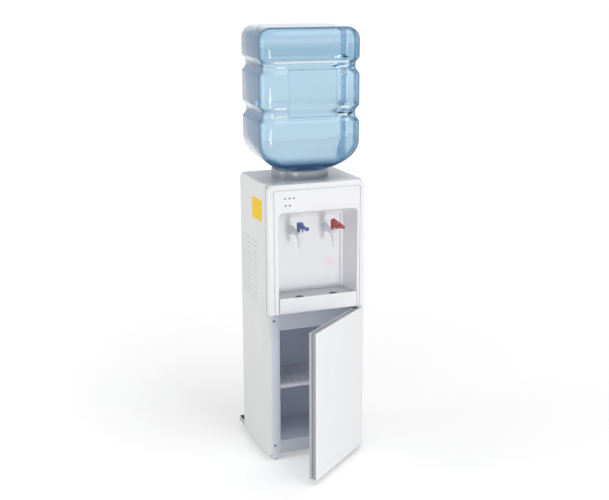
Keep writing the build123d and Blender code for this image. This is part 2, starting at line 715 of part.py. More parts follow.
with BuildPart() as tap_nuts:
    for tap_x in tap_xs:
        with BuildSketch(front_plane(bay_back_y + fascia_wall + 6.0)):
            with Locations((tap_x, tap_z)):
                RegularPolygon(12.5, 6)
                Circle(shank_radius + snug, mode=Mode.SUBTRACT)
        extrude(amount=6.0)
save(tap_nuts.part, "tap_nuts")

# ---------------------------------------------------------------------------
# Cupboard: front frame, liner, insulation, evaporator and shelf
# ---------------------------------------------------------------------------
liner_lip = 11.5
ledge_width = 5.0
ledge_height = 5.0
ledge_top_z = sill_z + shelf_height - shelf_thickness
plug_x = frame_half - 8.0
plug_radius = 4.0
plug_zs = (sill_z - 14.5, door_top_z - 20.0)

with BuildPart() as front_frame:
    block(-frame_half, frame_half, front_y, front_y + frame_thickness, floor_gap, fascia_bottom_z)
    block(-opening_half, opening_half, front_y - 1, front_y + frame_thickness + 1,
          sill_z, lintel_z, Mode.SUBTRACT)
    for side in (-1, 1):
        block(side * leg_x - leg_width / 2, side * leg_x + leg_width / 2, front_y + 0.5,
              front_y + 0.5 + leg_width + 3.0, pad_height, floor_gap)
        block(side * leg_x - leg_width / 2, side * leg_x + leg_width / 2, front_y + 0.5,
              front_y + frame_thickness, pad_height, floor_gap + 3.0)
    for plug_z in plug_zs:
        bar_y(-plug_x, plug_z, front_y - 1, front_y + frame_thickness + 1, plug_radius - 1.2,
              Mode.SUBTRACT)
save(front_frame.part, "front_frame")

with BuildPart() as hinge_hole_plugs:
    for plug_z in plug_zs:
        bar_y(-plug_x, plug_z, front_y, front_y + frame_thickness, plug_radius - 1.2 - snug)
        bar_y(-plug_x, plug_z, front_y - 0.9, front_y, plug_radius)
save(hinge_hole_plugs.part, "hinge_hole_plugs")

liner_front_y = front_y + frame_thickness
with BuildPart() as compartment_liner:
    block(-opening_half - liner_lip, opening_half + liner_lip, liner_front_y, liner_front_y + liner_wall,
          sill_z - liner_lip, lintel_z + liner_lip)
    block(-opening_half - liner_wall, opening_half + liner_wall, liner_front_y,
          liner_back_y + liner_wall, sill_z - liner_wall, lintel_z + liner_wall)
    with BuildSketch(front_plane(liner_back_y)):
        with Locations((0, (sill_z + lintel_z) / 2)):
            RectangleRounded(opening_width, opening_height, 6.0)
    extrude(amount=liner_back_y - front_y, mode=Mode.SUBTRACT)
    for side in (-1, 1):
        shelf_edge = sorted((side * opening_half, side * (opening_half - ledge_width)))
        block(*shelf_edge, liner_front_y + 8.0, liner_back_y, ledge_top_z - ledge_height, ledge_top_z)
save(compartment_liner.part, "compartment_liner")

foam_front_y = liner_front_y + liner_wall
tube_entry = 15.0
with BuildPart() as foam_insulation:
    block(-inner_x, inner_x, foam_front_y, foam_back_y, pan_top_z, machine_top_z)
    block(-inner_x, inner_x, foam_front_y, back_y - panel_sheet, machine_top_z + panel_sheet,
          fascia_bottom_z)
    block(-inner_x, inner_x, foam_front_y, foam_back_y, machine_top_z - 1, machine_top_z + 1)
    block(-opening_half - liner_wall, opening_half + liner_wall, foam_front_y - 1,
          liner_back_y + liner_wall, sill_z - liner_wall, lintel_z + liner_wall, Mode.SUBTRACT)
    block(cold_switch_x - 18.0, gland_x + 16.0, back_y - 32.0, back_y, control_z - 20.0, control_z + 20.0,
          Mode.SUBTRACT)
    for tube_x, tube_z in ((suction_x, suction_z), (drier_x, capillary_z)):
        bar_y(tube_x, tube_z, foam_back_y - tube_entry, foam_back_y + 1, line_radius + loose,
              Mode.SUBTRACT)
save(foam_insulation.part, "foam_insulation")

plate_thickness = 3.0
plate_half = opening_half - 16.0
with BuildPart() as evaporator_plate:
    block(-plate_half, plate_half, front_y + 24.0, liner_back_y - 12.0,
          lintel_z - plate_thickness, lintel_z)
    for row in range(6):
        channel_y = front_y + 38.0 + row * 24.0
        with Locations(Location((0, channel_y, lintel_z - plate_thickness), (0, 90, 0))):
            Cylinder(2.6, 2 * plate_half - 24.0)
save(evaporator_plate.part, "evaporator_plate")

shelf_half = opening_half - 1.0
shelf_front_y = front_y + 20.0
shelf_back_y = liner_back_y - 5.0
slot_width = 5.0
slot_pitch = 11.0
slot_count = int((2 * shelf_half - 24.0) // slot_pitch)
with BuildPart() as shelf:
    block(-shelf_half, shelf_half, shelf_front_y, shelf_back_y, ledge_top_z,
          ledge_top_z + shelf_thickness)
    block(-shelf_half + ledge_width + 1, shelf_half - ledge_width - 1, shelf_front_y,
          shelf_front_y + 7.0, ledge_top_z - 3.5, ledge_top_z + 1)
    fillet(shelf.edges().filter_by(Axis.X).group_by(Axis.Y)[0], 1.5)
    with Locations((0, (shelf_front_y + shelf_back_y) / 2 + 2.0, ledge_top_z + shelf_thickness / 2)):
        with GridLocations(slot_pitch, 0, slot_count, 1):
            Box(slot_width, shelf_back_y - shelf_front_y - 28.0, 3 * shelf_thickness, mode=Mode.SUBTRACT)
save(shelf.part, "shelf")

# ---------------------------------------------------------------------------
# Door, drawn about its hinge pin and turned to where it stands ajar
# ---------------------------------------------------------------------------
door_turn = math.radians(door_open_angle)
free_x = hinge_edge_offset - door_width
front_face = -hinge_front_offset
skin_back = front_face + door_skin_return
surround_back = skin_back + surround_depth
liner_back = surround_back + liner_sheet
gasket_base_back = liner_back + 2.5
gasket_back = front_y - gasket_gap - pin_y
bush_radius = 6.0
bush_length = 10.0
bush_flange = 2.2
hinge_pin_radius = 3.0
bush_seats = ((door_bottom_z, door_bottom_z + bush_length + 3),
              (door_top_z - bush_length - 3, door_top_z))


def door_plane(z):
    """Level plane with its origin on the hinge pin and +X along the door to the hinge edge."""
    return Plane(origin=(pin_x, pin_y, z), x_dir=(math.cos(door_turn), math.sin(door_turn), 0),
                 z_dir=(0, 0, 1))


def door_slab(x0, x1, y0, y1, z0, z1):
    """Upright slab between two corners in the door's own directions."""
    with BuildPart() as slab:
        with BuildSketch(door_plane(z0)):
            with Locations(((x0 + x1) / 2, (y0 + y1) / 2)):
                Rectangle(x1 - x0, y1 - y0)
        extrude(amount=z1 - z0)
    return slab.part


door_depth_axis = Axis((0, 0, 0), (-math.sin(door_turn), math.cos(door_turn), 0))
skin_box = (free_x, hinge_edge_offset, front_face, skin_back, door_bottom_z, door_top_z)
with BuildPart() as door_skin:
    add(door_slab(*skin_box))
    fillet(door_skin.faces().sort_by(door_depth_axis)[0].edges(), door_skin_return - 1.1)
    add(door_slab(free_x + door_skin_wall, hinge_edge_offset - door_skin_wall,
                  front_face + door_skin_wall, skin_back + 1,
                  door_bottom_z + door_skin_wall, door_top_z - door_skin_wall), mode=Mode.SUBTRACT)
save(door_skin.part, "door_skin")

surround_box = (free_x + surround_inset, hinge_edge_offset - surround_inset, skin_back, surround_back,
                door_bottom_z + surround_inset, door_top_z - surround_inset)
surround_inner = (free_x + surround_inset + surround_wall,
                  hinge_edge_offset - surround_inset - surround_wall - 14.0, skin_back - 1,
                  surround_back + 1, door_bottom_z + surround_inset + surround_wall,
                  door_top_z - surround_inset - surround_wall)
with BuildPart() as door_surround:
    add(door_slab(*surround_box))
    add(door_slab(*surround_inner), mode=Mode.SUBTRACT)
    for bush_z0, bush_z1 in bush_seats:
        post(pin_x, pin_y, bush_z0, bush_z1, bush_radius, Mode.SUBTRACT)
save(door_surround.part, "door_surround")

with BuildPart() as door_foam:
    add(door_slab(free_x + door_skin_wall, hinge_edge_offset - door_skin_wall,
                  front_face + door_skin_wall, skin_back,
                  door_bottom_z + door_skin_wall, door_top_z - door_skin_wall))
    add(door_slab(surround_inner[0], surround_inner[1], skin_back - 1, surround_back,
                  surround_inner[4], surround_inner[5]))
    for bush_z0, bush_z1 in bush_seats:
        post(pin_x, pin_y, bush_z0, bush_z1, bush_radius, Mode.SUBTRACT)
save(door_foam.part, "door_foam")

bulge_left = -opening_half + 8.0 - pin_x
bulge_right = opening_half - 8.0 - pin_x
with BuildPart() as door_liner:
    add(door_slab(free_x + 3.5, hinge_edge_offset - 3.5, surround_back, liner_back,
                  door_bottom_z + 3.5, door_top_z - 3.5))
    add(door_slab(bulge_left, bulge_right, liner_back - 0.5, liner_back + door_liner_bulge,
                  sill_z + 8.0, lintel_z - 8.0))
    bulge_face = door_liner.faces().sort_by(door_depth_axis)[-1]
    fillet(bulge_face.edges(), 5.0)
    add(door_slab(bulge_left + 2.0, bulge_right - 2.0, surround_back - 1,
                  liner_back + door_liner_bulge - 2.0, sill_z + 10.0, lintel_z - 10.0),
        mode=Mode.SUBTRACT)
    for bush_z0, bush_z1 in bush_seats:
        post(pin_x, pin_y, bush_z0, bush_z1, bush_radius, Mode.SUBTRACT)
save(door_liner.part, "door_liner")

lip_left = free_x + gasket_inset
lip_right = -0.5
base_inset = 3.5
lip_bottom_z = door_bottom_z + gasket_inset
lip_top_z = door_top_z - gasket_inset
with BuildPart() as door_gasket:
    add(door_slab(lip_left, lip_right, gasket_base_back, gasket_back, lip_bottom_z, lip_top_z))
    add(door_slab(lip_left + base_inset, lip_right - base_inset, liner_back, gasket_base_back,
                  lip_bottom_z + base_inset, lip_top_z - base_inset))
    add(door_slab(lip_left + gasket_lip_width, lip_right - gasket_lip_width, liner_back - 1,
                  gasket_back + 1, lip_bottom_z + gasket_lip_width, lip_top_z - gasket_lip_width),
        mode=Mode.SUBTRACT)
save(door_gasket.part, "door_gasket")

with BuildPart() as hinge_bushes:
    post(pin_x, pin_y, door_bottom_z - bush_flange, door_bottom_z, bush_radius + 1.5)
    post(pin_x, pin_y, door_bottom_z, door_bottom_z + bush_length, bush_radius - 0.02)
    post(pin_x, pin_y, door_top_z, door_top_z + bush_flange, bush_radius + 1.5)
    post(pin_x, pin_y, door_top_z - bush_length, door_top_z, bush_radius - 0.02)
    post(pin_x, pin_y, door_bottom_z - 5, door_top_z + 5, hinge_pin_radius + running, Mode.SUBTRACT)
save(hinge_bushes.part, "hinge_bushes")

upper_tab_z = door_top_z + bush_flange + loose
lower_tab_top_z = door_bottom_z - bush_flange - loose
bracket_left = pin_x - 13.0
bracket_right = fascia_half - fascia_wall - 0.5
bracket_front = pin_y - 8.0
with BuildPart() as upper_hinge:
    block(bracket_left, bracket_right, bracket_front, front_y, upper_tab_z, upper_tab_z + bracket_sheet)
    block(bracket_left, bracket_right - 1, front_y - bracket_sheet, front_y, upper_tab_z,
          fascia_bottom_z + 27.0)
    fillet(upper_hinge.edges().filter_by(Axis.Z).group_by(Axis.Y)[0], 6.0)
    post(pin_x, pin_y, door_top_z - bush_length + 2.0, upper_tab_z + 0.5, hinge_pin_radius)
    for screw_z in upper_screw_zs:
        bar_y(upper_screw_x, screw_z, front_y - bracket_sheet - 1, front_y + 1, screw_radius + snug,
              Mode.SUBTRACT)
save(upper_hinge.part, "upper_hinge")

riser_left = leg_x + leg_width / 2 + 1.0
with BuildPart() as lower_hinge:
    block(bracket_left, bracket_right, bracket_front, front_y - 0.5, lower_tab_z, lower_tab_top_z)
    block(riser_left, bracket_right, front_y - 0.5, front_y + 28.0, lower_tab_z, lower_tab_top_z)
    block(riser_left, bracket_right, front_y + 3.0, front_y + 28.0, lower_tab_z, floor_gap)
    fillet(lower_hinge.edges().filter_by(Axis.Z).group_by(Axis.Y)[0], 6.0)
    post(pin_x, pin_y, lower_tab_z, door_bottom_z + bush_length - 2.0, hinge_pin_radius)
    for screw_y in lower_screw_ys:
        post(lower_screw_x, screw_y, lower_tab_z - 1, floor_gap + 1, screw_radius + snug, Mode.SUBTRACT)
save(lower_hinge.part, "lower_hinge")

# ---------------------------------------------------------------------------
# Cold tank, hot tank and the hoses between them
# ---------------------------------------------------------------------------
outlet_radius = 5.0
cold_outlet_x = -25.0
deck_front_y = tank_y - 57.0
deck_hole = 45.0
coil_top_z = tank_top_z - 30.0
coil_turns = 8
coil_pitch = 13.2
coil_radius = cold_tank_radius + cold_tube_radius + snug
insulation_inner = cold_tank_radius + 2 * cold_tube_radius + 0.3
insulation_outer = insulation_inner + cold_insulation

with BuildPart() as divider_shelf:
    block(-inner_x, inner_x, bay_back_y + fascia_wall + 1.5, back_y - panel_sheet, divider_z,
          divider_z + divider_sheet)
save(divider_shelf.part, "divider_shelf")

with BuildPart() as tank_shelf:
    block(-inner_x, inner_x, deck_front_y, back_y - panel_sheet, deck_z - deck_sheet, deck_z)
    for side in (-1, 1):
        ear = sorted((side * inner_x, side * (inner_x - deck_sheet)))
        block(*ear, deck_front_y, back_y - panel_sheet, deck_z - 16.0, deck_z)
    post(0, tank_y, deck_z - 5, deck_z + 5, deck_hole, Mode.SUBTRACT)
save(tank_shelf.part, "tank_shelf")

with BuildPart() as cold_tank:
    post(0, tank_y, tank_floor_z, tank_top_z, cold_tank_radius)
    post(0, tank_y, tank_top_z - tank_wall, tank_top_z, cold_tank_radius + 6.0)
    post(0, tank_y, tank_floor_z + tank_wall, tank_top_z + 1, cold_tank_radius - tank_wall,
         Mode.SUBTRACT)
    for outlet_x in (0.0, cold_outlet_x):
        post(outlet_x, tank_y, deck_z - 4.0, tank_floor_z + 0.4, outlet_radius)
        post(outlet_x, tank_y, deck_z - 5.0, tank_floor_z + 2.0, outlet_radius - 1.5, Mode.SUBTRACT)
save(cold_tank.part, "cold_tank")

with BuildPart() as cold_tank_insulation:
    post(0, tank_y, deck_z, tank_top_z - tank_wall, insulation_outer)
    post(0, tank_y, tank_floor_z, tank_top_z + 1, insulation_inner, Mode.SUBTRACT)
    for outlet_x in (0.0, cold_outlet_x):
        post(outlet_x, tank_y, deck_z - 1, tank_floor_z + 1, outlet_radius + loose, Mode.SUBTRACT)
save(cold_tank_insulation.part, "cold_tank_insulation")

with BuildPart() as cold_coil:
    with BuildSketch(front_plane(tank_y)):
        for turn in range(coil_turns):
            with Locations((coil_radius, coil_top_z - turn * coil_pitch)):
                RegularPolygon(cold_tube_radius, 6)
    revolve(axis=Axis((0, tank_y, 0), (0, 0, 1)))
    header_z = coil_top_z - (coil_turns - 1) * coil_pitch
    post(0, tank_y + coil_radius, header_z, coil_top_z, 1.6)
save(cold_coil.part, "cold_coil")

with BuildPart() as tank_lid:
    post(0, tank_y, tank_top_z, tank_top_z + 3.0, cold_tank_radius + 6.0)
    post(0, seat_y, tank_top_z - 1, tank_top_z + 4, spout_outer + loose, Mode.SUBTRACT)
save(tank_lid.part, "tank_lid")

with BuildPart() as baffle_plate:
    post(0, tank_y, baffle_top_z - 2.5, baffle_top_z, cold_tank_radius - tank_wall - 3.0)
    post(0, tank_y, tank_floor_z + tank_wall, baffle_top_z, outlet_radius)
    post(0, tank_y, tank_floor_z, baffle_top_z + 1, outlet_radius - 1.5, Mode.SUBTRACT)
    with Locations((0, tank_y, baffle_top_z)):
        with PolarLocations(48.0, 6, start_angle=30.0):
            Cylinder(4.0, 10.0, mode=Mode.SUBTRACT)
save(baffle_plate.part, "baffle_plate")

jacket_inner = hot_tank_radius + 3.4
jacket_outer = jacket_inner + hot_jacket
jacket_bottom_z = hot_floor_z - 10.0
jacket_top_z = hot_top_z + 13.0
hot_outlet_x = 20.0
hot_stub_top_z = hot_top_z + 16.0
band_bottom_z = hot_floor_z + 30.0
band_height = 32.0
hot_wall = 1.2
tank_leg_radius = 4.0
tank_leg_circle = hot_tank_radius - 14.0
with BuildPart() as hot_tank:
    post(0, tank_y, hot_floor_z, hot_top_z, hot_tank_radius)
    fillet(hot_tank.edges(), 2 * hot_wall)
    post(0, tank_y, hot_floor_z + hot_wall, hot_top_z - hot_wall, hot_tank_radius - hot_wall,
         Mode.SUBTRACT)
    for stub_x in (0.0, hot_outlet_x):
        post(stub_x, tank_y, hot_top_z - 0.6, hot_stub_top_z, outlet_radius)
        post(stub_x, tank_y, hot_top_z - 2.0, hot_stub_top_z + 1, outlet_radius - 1.5, Mode.SUBTRACT)
    post(0, tank_y, drain_z + 14.0, hot_floor_z + 0.6, outlet_radius)
    post(0, tank_y, drain_z + 13.0, hot_floor_z + 2.0, outlet_radius - 1.5, Mode.SUBTRACT)
    with Locations((0, tank_y, (divider_z + divider_sheet + hot_floor_z + 0.6) / 2)):
        with PolarLocations(tank_leg_circle, 3, start_angle=30.0):
            Cylinder(tank_leg_radius, hot_floor_z + 0.6 - divider_z - divider_sheet)
save(hot_tank.part, "hot_tank")

sensor_places = ((-26.0, tank_y - 14.0), (-26.0, tank_y + 14.0))
sensor_radius = 7.5
with BuildPart() as hot_tank_jacket:
    post(0, tank_y, jacket_bottom_z, jacket_top_z, jacket_outer)
    post(0, tank_y, hot_floor_z - loose, hot_top_z + loose, jacket_inner, Mode.SUBTRACT)
    for stub_x in (0.0, hot_outlet_x):
        post(stub_x, tank_y, hot_top_z, jacket_top_z + 1, outlet_radius + loose, Mode.SUBTRACT)
    for sensor_x, sensor_y in sensor_places:
        post(sensor_x, sensor_y, hot_top_z, jacket_top_z + 1, sensor_radius + loose, Mode.SUBTRACT)
    post(0, tank_y, jacket_bottom_z - 1, hot_floor_z + 1, outlet_radius + loose, Mode.SUBTRACT)
    with Locations((0, tank_y, hot_floor_z)):
        with PolarLocations(tank_leg_circle, 3, start_angle=30.0):
            Cylinder(tank_leg_radius + loose, 40.0, mode=Mode.SUBTRACT)
save(hot_tank_jacket.part, "hot_tank_jacket")

with BuildPart() as hot_tank_heater:
    post(0, tank_y, band_bottom_z, band_bottom_z + band_height, hot_tank_radius + 3.0)
    post(0, tank_y, band_bottom_z - 1, band_bottom_z + band_height + 1, hot_tank_radius, Mode.SUBTRACT)
    for sensor_x, sensor_y in sensor_places:
        post(sensor_x, sensor_y, hot_top_z, hot_top_z + 9.0, sensor_radius)
        post(sensor_x, sensor_y, hot_top_z + 9.0, hot_top_z + 15.0, 4.0)
save(hot_tank_heater.part, "hot_tank_heater")

bend = 8.0
cold_hose_z = deck_z - deck_sheet - 17.0
hot_hose_z = jacket_top_z + 12.0
hose_routes = (
    ((tap_xs[0], elbow_y, elbow_bottom_z), (tap_xs[0], elbow_y, cold_hose_z),
     (tap_xs[0], tank_y, cold_hose_z), (cold_outlet_x, tank_y, cold_hose_z),
     (cold_outlet_x, tank_y, deck_z - 4.0)),
    ((tap_xs[1], elbow_y, elbow_bottom_z), (tap_xs[1], elbow_y, hot_hose_z),
     (tap_xs[1], tank_y, hot_hose_z), (hot_outlet_x, tank_y, hot_hose_z),
     (hot_outlet_x, tank_y, hot_stub_top_z)),
)
with BuildPart() as water_hoses:
    for route in hose_routes:
        with BuildLine() as hose_line:
            FilletPolyline(*route, radius=bend)
        with BuildSketch(Plane(origin=route[0], z_dir=(0, 0, -1))):
            Circle(hose_radius)
            Circle(hose_bore, mode=Mode.SUBTRACT)
        sweep(path=hose_line.wire())
    post(0, tank_y, hot_stub_top_z, deck_z - 4.0, hose_radius)
    post(0, tank_y, hot_stub_top_z - 1, deck_z - 3.0, hose_bore, Mode.SUBTRACT)
save(water_hoses.part, "water_hoses")

drain_end_y = back_y + panel_sheet + 20.0
drain_route = ((0, tank_y, drain_z + 14.0), (0, tank_y, drain_z), (0, drain_end_y, drain_z))
with BuildPart() as drain_pipe:
    with BuildLine() as drain_line:
        FilletPolyline(*drain_route, radius=10.0)
    with BuildSketch(Plane(origin=drain_route[0], z_dir=(0, 0, -1))):
        Circle(drain_radius)
        Circle(hose_bore, mode=Mode.SUBTRACT)
    sweep(path=drain_line.wire())
    bar_y(0, drain_z, back_y + panel_sheet, back_y + panel_sheet + 3.0, 9.0)
    bar_y(0, drain_z, back_y - 4, drain_end_y + 1, hose_bore, Mode.SUBTRACT)
save(drain_pipe.part, "drain_pipe")

cap_radius = 8.0
with BuildPart() as drain_cap:
    bar_y(0, drain_z, back_y + panel_sheet + 3.0 + loose, drain_end_y + 3.0, cap_radius)
    bar_y(0, drain_z, back_y + panel_sheet + 2.0, drain_end_y + snug, drain_radius + snug,
          Mode.SUBTRACT)
    with Locations(Location((0, drain_end_y + 3.0, drain_z), (90, 0, 0))):
        with PolarLocations(cap_radius, 12):
            Cylinder(0.9, 30.0, mode=Mode.SUBTRACT)
save(drain_cap.part, "drain_cap")

# ---------------------------------------------------------------------------
# Refrigeration unit on the back
# ---------------------------------------------------------------------------
grommet_height = 8.0
plate_bottom_z = pan_top_z + grommet_height
plate_sheet = 2.5
shell_bottom_z = plate_bottom_z + plate_sheet
grommet_neck = 5.6
condenser_y = back_y + panel_sheet + 14.0
port_z = pan_top_z + 78.0
port_reach = compressor_half_x + 6.0
inlet_x = half_width - 15.0

with BuildPart() as compressor:
    with BuildSketch(Plane.XY.offset(shell_bottom_z)):
        with Locations((0, compressor_y)):
            Ellipse(compressor_half_x, compressor_half_y)
    extrude(amount=compressor_height)
    fillet(compressor.edges(), 20.0)
    with BuildSketch(Plane.XY.offset(plate_bottom_z)):
        with Locations((0, compressor_y)):
            RectangleRounded(2 * mount_half_x + 24.0, 2 * mount_half_y + 24.0, 10.0)
            with GridLocations(2 * mount_half_x, 2 * mount_half_y, 2, 2):
                Circle(grommet_neck + running, mode=Mode.SUBTRACT)
    extrude(amount=plate_sheet)
    block(compressor_half_x - 20.0, compressor_half_x + 14.0, compressor_y - 24.0, compressor_y - 2.0,
          shell_bottom_z + 34.0, shell_bottom_z + 80.0)
    bar_x(condenser_y, port_z, -port_reach, -40.0, line_radius + 0.8)
    bar_x(condenser_y, port_z + 10.0, 40.0, port_reach, line_radius + 0.8)
save(compressor.part, "compressor")

with BuildPart() as compressor_grommets:
    for side in (-1, 1):
        for row in (-1, 1):
            x, y = side * mount_half_x, compressor_y + row * mount_half_y
            post(x, y, pan_top_z, plate_bottom_z, grommet_neck + 3.0)
            post(x, y, plate_bottom_z, plate_bottom_z + plate_sheet + 1.0, grommet_neck)
            post(x, y, pan_top_z - 1, plate_bottom_z + 6.0, stud_radius + running, Mode.SUBTRACT)
save(compressor_grommets.part, "compressor_grommets")

condenser_top_z = top_z - 32.0
condenser_bottom_z = condenser_top_z - (condenser_runs - 1) * condenser_pitch
serpentine = []
for run in range(condenser_runs):
    ends = (condenser_half_width, -condenser_half_width)
    if run % 2:
        ends = ends[::-1]
    z = condenser_top_z - run * condenser_pitch
    serpentine += [(ends[0], condenser_y, z), (ends[1], condenser_y, z)]
serpentine[0] = (inlet_x - 8.0, condenser_y, condenser_top_z)
serpentine[-1] = (-inlet_x + 8.0, condenser_y, condenser_bottom_z)
wire_count = int(2 * (condenser_half_width - 18.0) // wire_pitch)

with BuildPart() as condenser:
    with BuildLine() as condenser_line:
        FilletPolyline(*serpentine, radius=condenser_pitch / 2 - 0.5)
    with BuildSketch(Plane(origin=serpentine[0], z_dir=(-1, 0, 0))):
        Circle(condenser_tube)
    sweep(path=condenser_line.wire())
    for side in (-1, 1):
        for run in (1, condenser_runs - 2):
            z = condenser_top_z - run * condenser_pitch
            block(side * 80.0 - 4.0, side * 80.0 + 4.0, back_y + panel_sheet, condenser_y, z - 1, z + 1)
    wire_y = condenser_y + condenser_tube + condenser_wire + snug
    wire_middle_z = (condenser_top_z + condenser_bottom_z) / 2
    with Locations((0, wire_y, wire_middle_z)):
        with GridLocations(wire_pitch, 0, wire_count, 1):
            Cylinder(condenser_wire, condenser_top_z - condenser_bottom_z + 14.0)
save(condenser.part, "condenser")

drier_top_z = pan_top_z + 150.0
drier_bottom_z = drier_top_z - 80.0
with BuildPart() as filter_drier:
    post(drier_x, condenser_y, drier_bottom_z, drier_top_z, 9.0)
    fillet(filter_drier.edges(), 4.0)
    post(drier_x, condenser_y, drier_bottom_z - 4.0, drier_top_z + 4.0, 3.2)
save(filter_drier.part, "filter_drier")

discharge = ((port_reach, condenser_y, port_z + 10.0), (inlet_x, condenser_y, port_z + 10.0),
             (inlet_x, condenser_y, condenser_top_z), (inlet_x - 8.0, condenser_y, condenser_top_z))
liquid = ((-inlet_x + 8.0, condenser_y, condenser_bottom_z), (drier_x, condenser_y, condenser_bottom_z),
          (drier_x, condenser_y, drier_top_z + 4.0))
suction = ((-port_reach, condenser_y, port_z), (suction_x, condenser_y, port_z),
           (suction_x, condenser_y, suction_z), (suction_x, foam_back_y - tube_entry + 1, suction_z))
capillary = ((drier_x, condenser_y, drier_bottom_z - 4.0), (drier_x, condenser_y, capillary_z),
             (drier_x, foam_back_y - tube_entry + 1, capillary_z))
with BuildPart() as refrigerant_lines:
    for route, radius in ((discharge, 4.0), (liquid, 4.0), (suction, 4.5), (capillary, 6.0)):
        with BuildLine() as tube_line:
            FilletPolyline(*route, radius=radius)
        start_direction = Vector(*route[1]) - Vector(*route[0])
        with BuildSketch(Plane(origin=route[0], z_dir=start_direction)):
            Circle(line_radius)
        sweep(path=tube_line.wire())
save(refrigerant_lines.part, "refrigerant_lines")

# ---------------------------------------------------------------------------
# Rear controls and the inlet gland
# ---------------------------------------------------------------------------
panel_face_y = back_y + panel_sheet
rocker_half_x = 6.2
rocker_half_z = 8.2
rocker_open_x = 6.7
rocker_open_z = 9.0
rocker_tilt = 10.0
rocker_axis_y = panel_face_y + 1.0
knob_back_y = panel_face_y + 16.0

with BuildPart() as control_housings:
    for switch_x in (cold_switch_x, hot_switch_x):
        block(switch_x - switch_half_x, switch_x + switch_half_x, back_y - 14.0, panel_face_y,
              control_z - switch_half_z, control_z + switch_half_z)
        block(switch_x - switch_half_x - 1.5, switch_x + switch_half_x + 1.5, panel_face_y,
              panel_face_y + 1.8, control_z - switch_half_z - 1.5, control_z + switch_half_z + 1.5)
        block(switch_x - rocker_open_x, switch_x + rocker_open_x, back_y - 6.0, panel_face_y + 3,
              control_z - rocker_open_z, control_z + rocker_open_z, Mode.SUBTRACT)
        bar_x(rocker_axis_y - 1.5, control_z, switch_x - 8.0, switch_x + 8.0, 1.1, Mode.SUBTRACT)
    bar_y(knob_x, control_z, back_y - 22.0, back_y, 14.0)
    bar_y(knob_x, control_z, back_y, knob_back_y - 3.0, spindle_radius)
save(control_housings.part, "control_housings")

for switch_x, rocker_name in ((cold_switch_x, "cold_switch"), (hot_switch_x, "hot_switch")):
    tilt = math.radians(rocker_tilt)
    rocker_plane = Plane(origin=(switch_x - rocker_half_x, rocker_axis_y - 1.5, control_z),
                         x_dir=(0, math.cos(tilt), math.sin(tilt)), z_dir=(1, 0, 0))
    with BuildPart() as rocker:
        with BuildSketch(rocker_plane):
            with BuildLine():
                Polyline((-3.0, -rocker_half_z + 1.0), (2.6, -rocker_half_z), (1.6, 0.0),
                         (2.6, rocker_half_z), (-3.0, rocker_half_z - 1.0),
                         (-3.0, -rocker_half_z + 1.0))
            make_face()
        extrude(amount=2 * rocker_half_x)
        bar_x(rocker_axis_y - 1.5, control_z, switch_x - 7.7, switch_x + 7.7, 1.0)
    save(rocker.part, rocker_name)

knob_radius = 12.5
with BuildPart() as thermostat_knob:
    bar_y(knob_x, control_z, panel_face_y + 1.0, knob_back_y, knob_radius)
    chamfer(thermostat_knob.edges().group_by(Axis.Y)[-1], 1.2)
    with Locations(Location((knob_x, knob_back_y, control_z), (90, 0, 0))):
        with PolarLocations(knob_radius, 16, start_angle=11.25):
            Cylinder(1.0, 40.0, mode=Mode.SUBTRACT)
    block(knob_x - 1.2, knob_x + 1.2, knob_back_y - 1.0, knob_back_y + 1.4, control_z,
          control_z + knob_radius - 2.0)
    bar_y(knob_x, control_z, panel_face_y, knob_back_y - 2.6, spindle_radius + running, Mode.SUBTRACT)
save(thermostat_knob.part, "thermostat_knob")

with BuildPart() as cord_gland:
    bar_y(gland_x, control_z, back_y - 8.0, panel_face_y + 8.0, gland_thread)
    with BuildSketch(front_plane(panel_face_y + 4.0)):
        with Locations((gland_x, control_z)):
            RegularPolygon(10.0, 6)
    extrude(amount=4.0)
    bar_y(gland_x, control_z, panel_face_y + 8.0, panel_face_y + 16.0, gland_thread - 1.0)
    bar_y(gland_x, control_z, back_y - 10.0, panel_face_y + 20.0, 3.3, Mode.SUBTRACT)
save(cord_gland.part, "cord_gland")
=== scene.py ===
import math

import bmesh
import bpy
from mathutils import Matrix, Vector


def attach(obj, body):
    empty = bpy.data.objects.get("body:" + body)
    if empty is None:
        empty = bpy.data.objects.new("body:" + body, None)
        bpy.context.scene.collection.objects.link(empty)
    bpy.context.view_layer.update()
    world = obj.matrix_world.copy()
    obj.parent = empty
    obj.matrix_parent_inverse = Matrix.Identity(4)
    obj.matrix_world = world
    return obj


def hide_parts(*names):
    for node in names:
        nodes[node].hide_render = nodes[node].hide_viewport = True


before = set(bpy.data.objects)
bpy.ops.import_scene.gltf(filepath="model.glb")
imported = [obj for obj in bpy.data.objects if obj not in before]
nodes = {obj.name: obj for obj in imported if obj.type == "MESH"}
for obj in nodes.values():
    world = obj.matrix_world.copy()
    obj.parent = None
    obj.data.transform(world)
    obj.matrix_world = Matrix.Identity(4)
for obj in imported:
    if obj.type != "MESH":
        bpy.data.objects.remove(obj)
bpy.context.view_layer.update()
scene = bpy.context.scene

# ---------------------------------------------------------------------------
# The viewpoint: a longish lens above the height of the bottle, in front of the
# cooler and well to its left, looking down at it.
# ---------------------------------------------------------------------------
camera_place = Vector((-1.1434, -2.9841, 1.4614))
camera_yaw = math.radians(20.70)
camera_pitch = math.radians(14.10)
camera_roll = math.radians(0.19)
camera_lens = 63.40

forward = Vector((math.sin(camera_yaw) * math.cos(camera_pitch),
                  math.cos(camera_yaw) * math.cos(camera_pitch),
                  -math.sin(camera_pitch)))
level_right = Vector((math.cos(camera_yaw), -math.sin(camera_yaw), 0))
level_down = forward.cross(level_right)
right = level_right * math.cos(camera_roll) + level_down * math.sin(camera_roll)
up = level_right * math.sin(camera_roll) - level_down * math.cos(camera_roll)

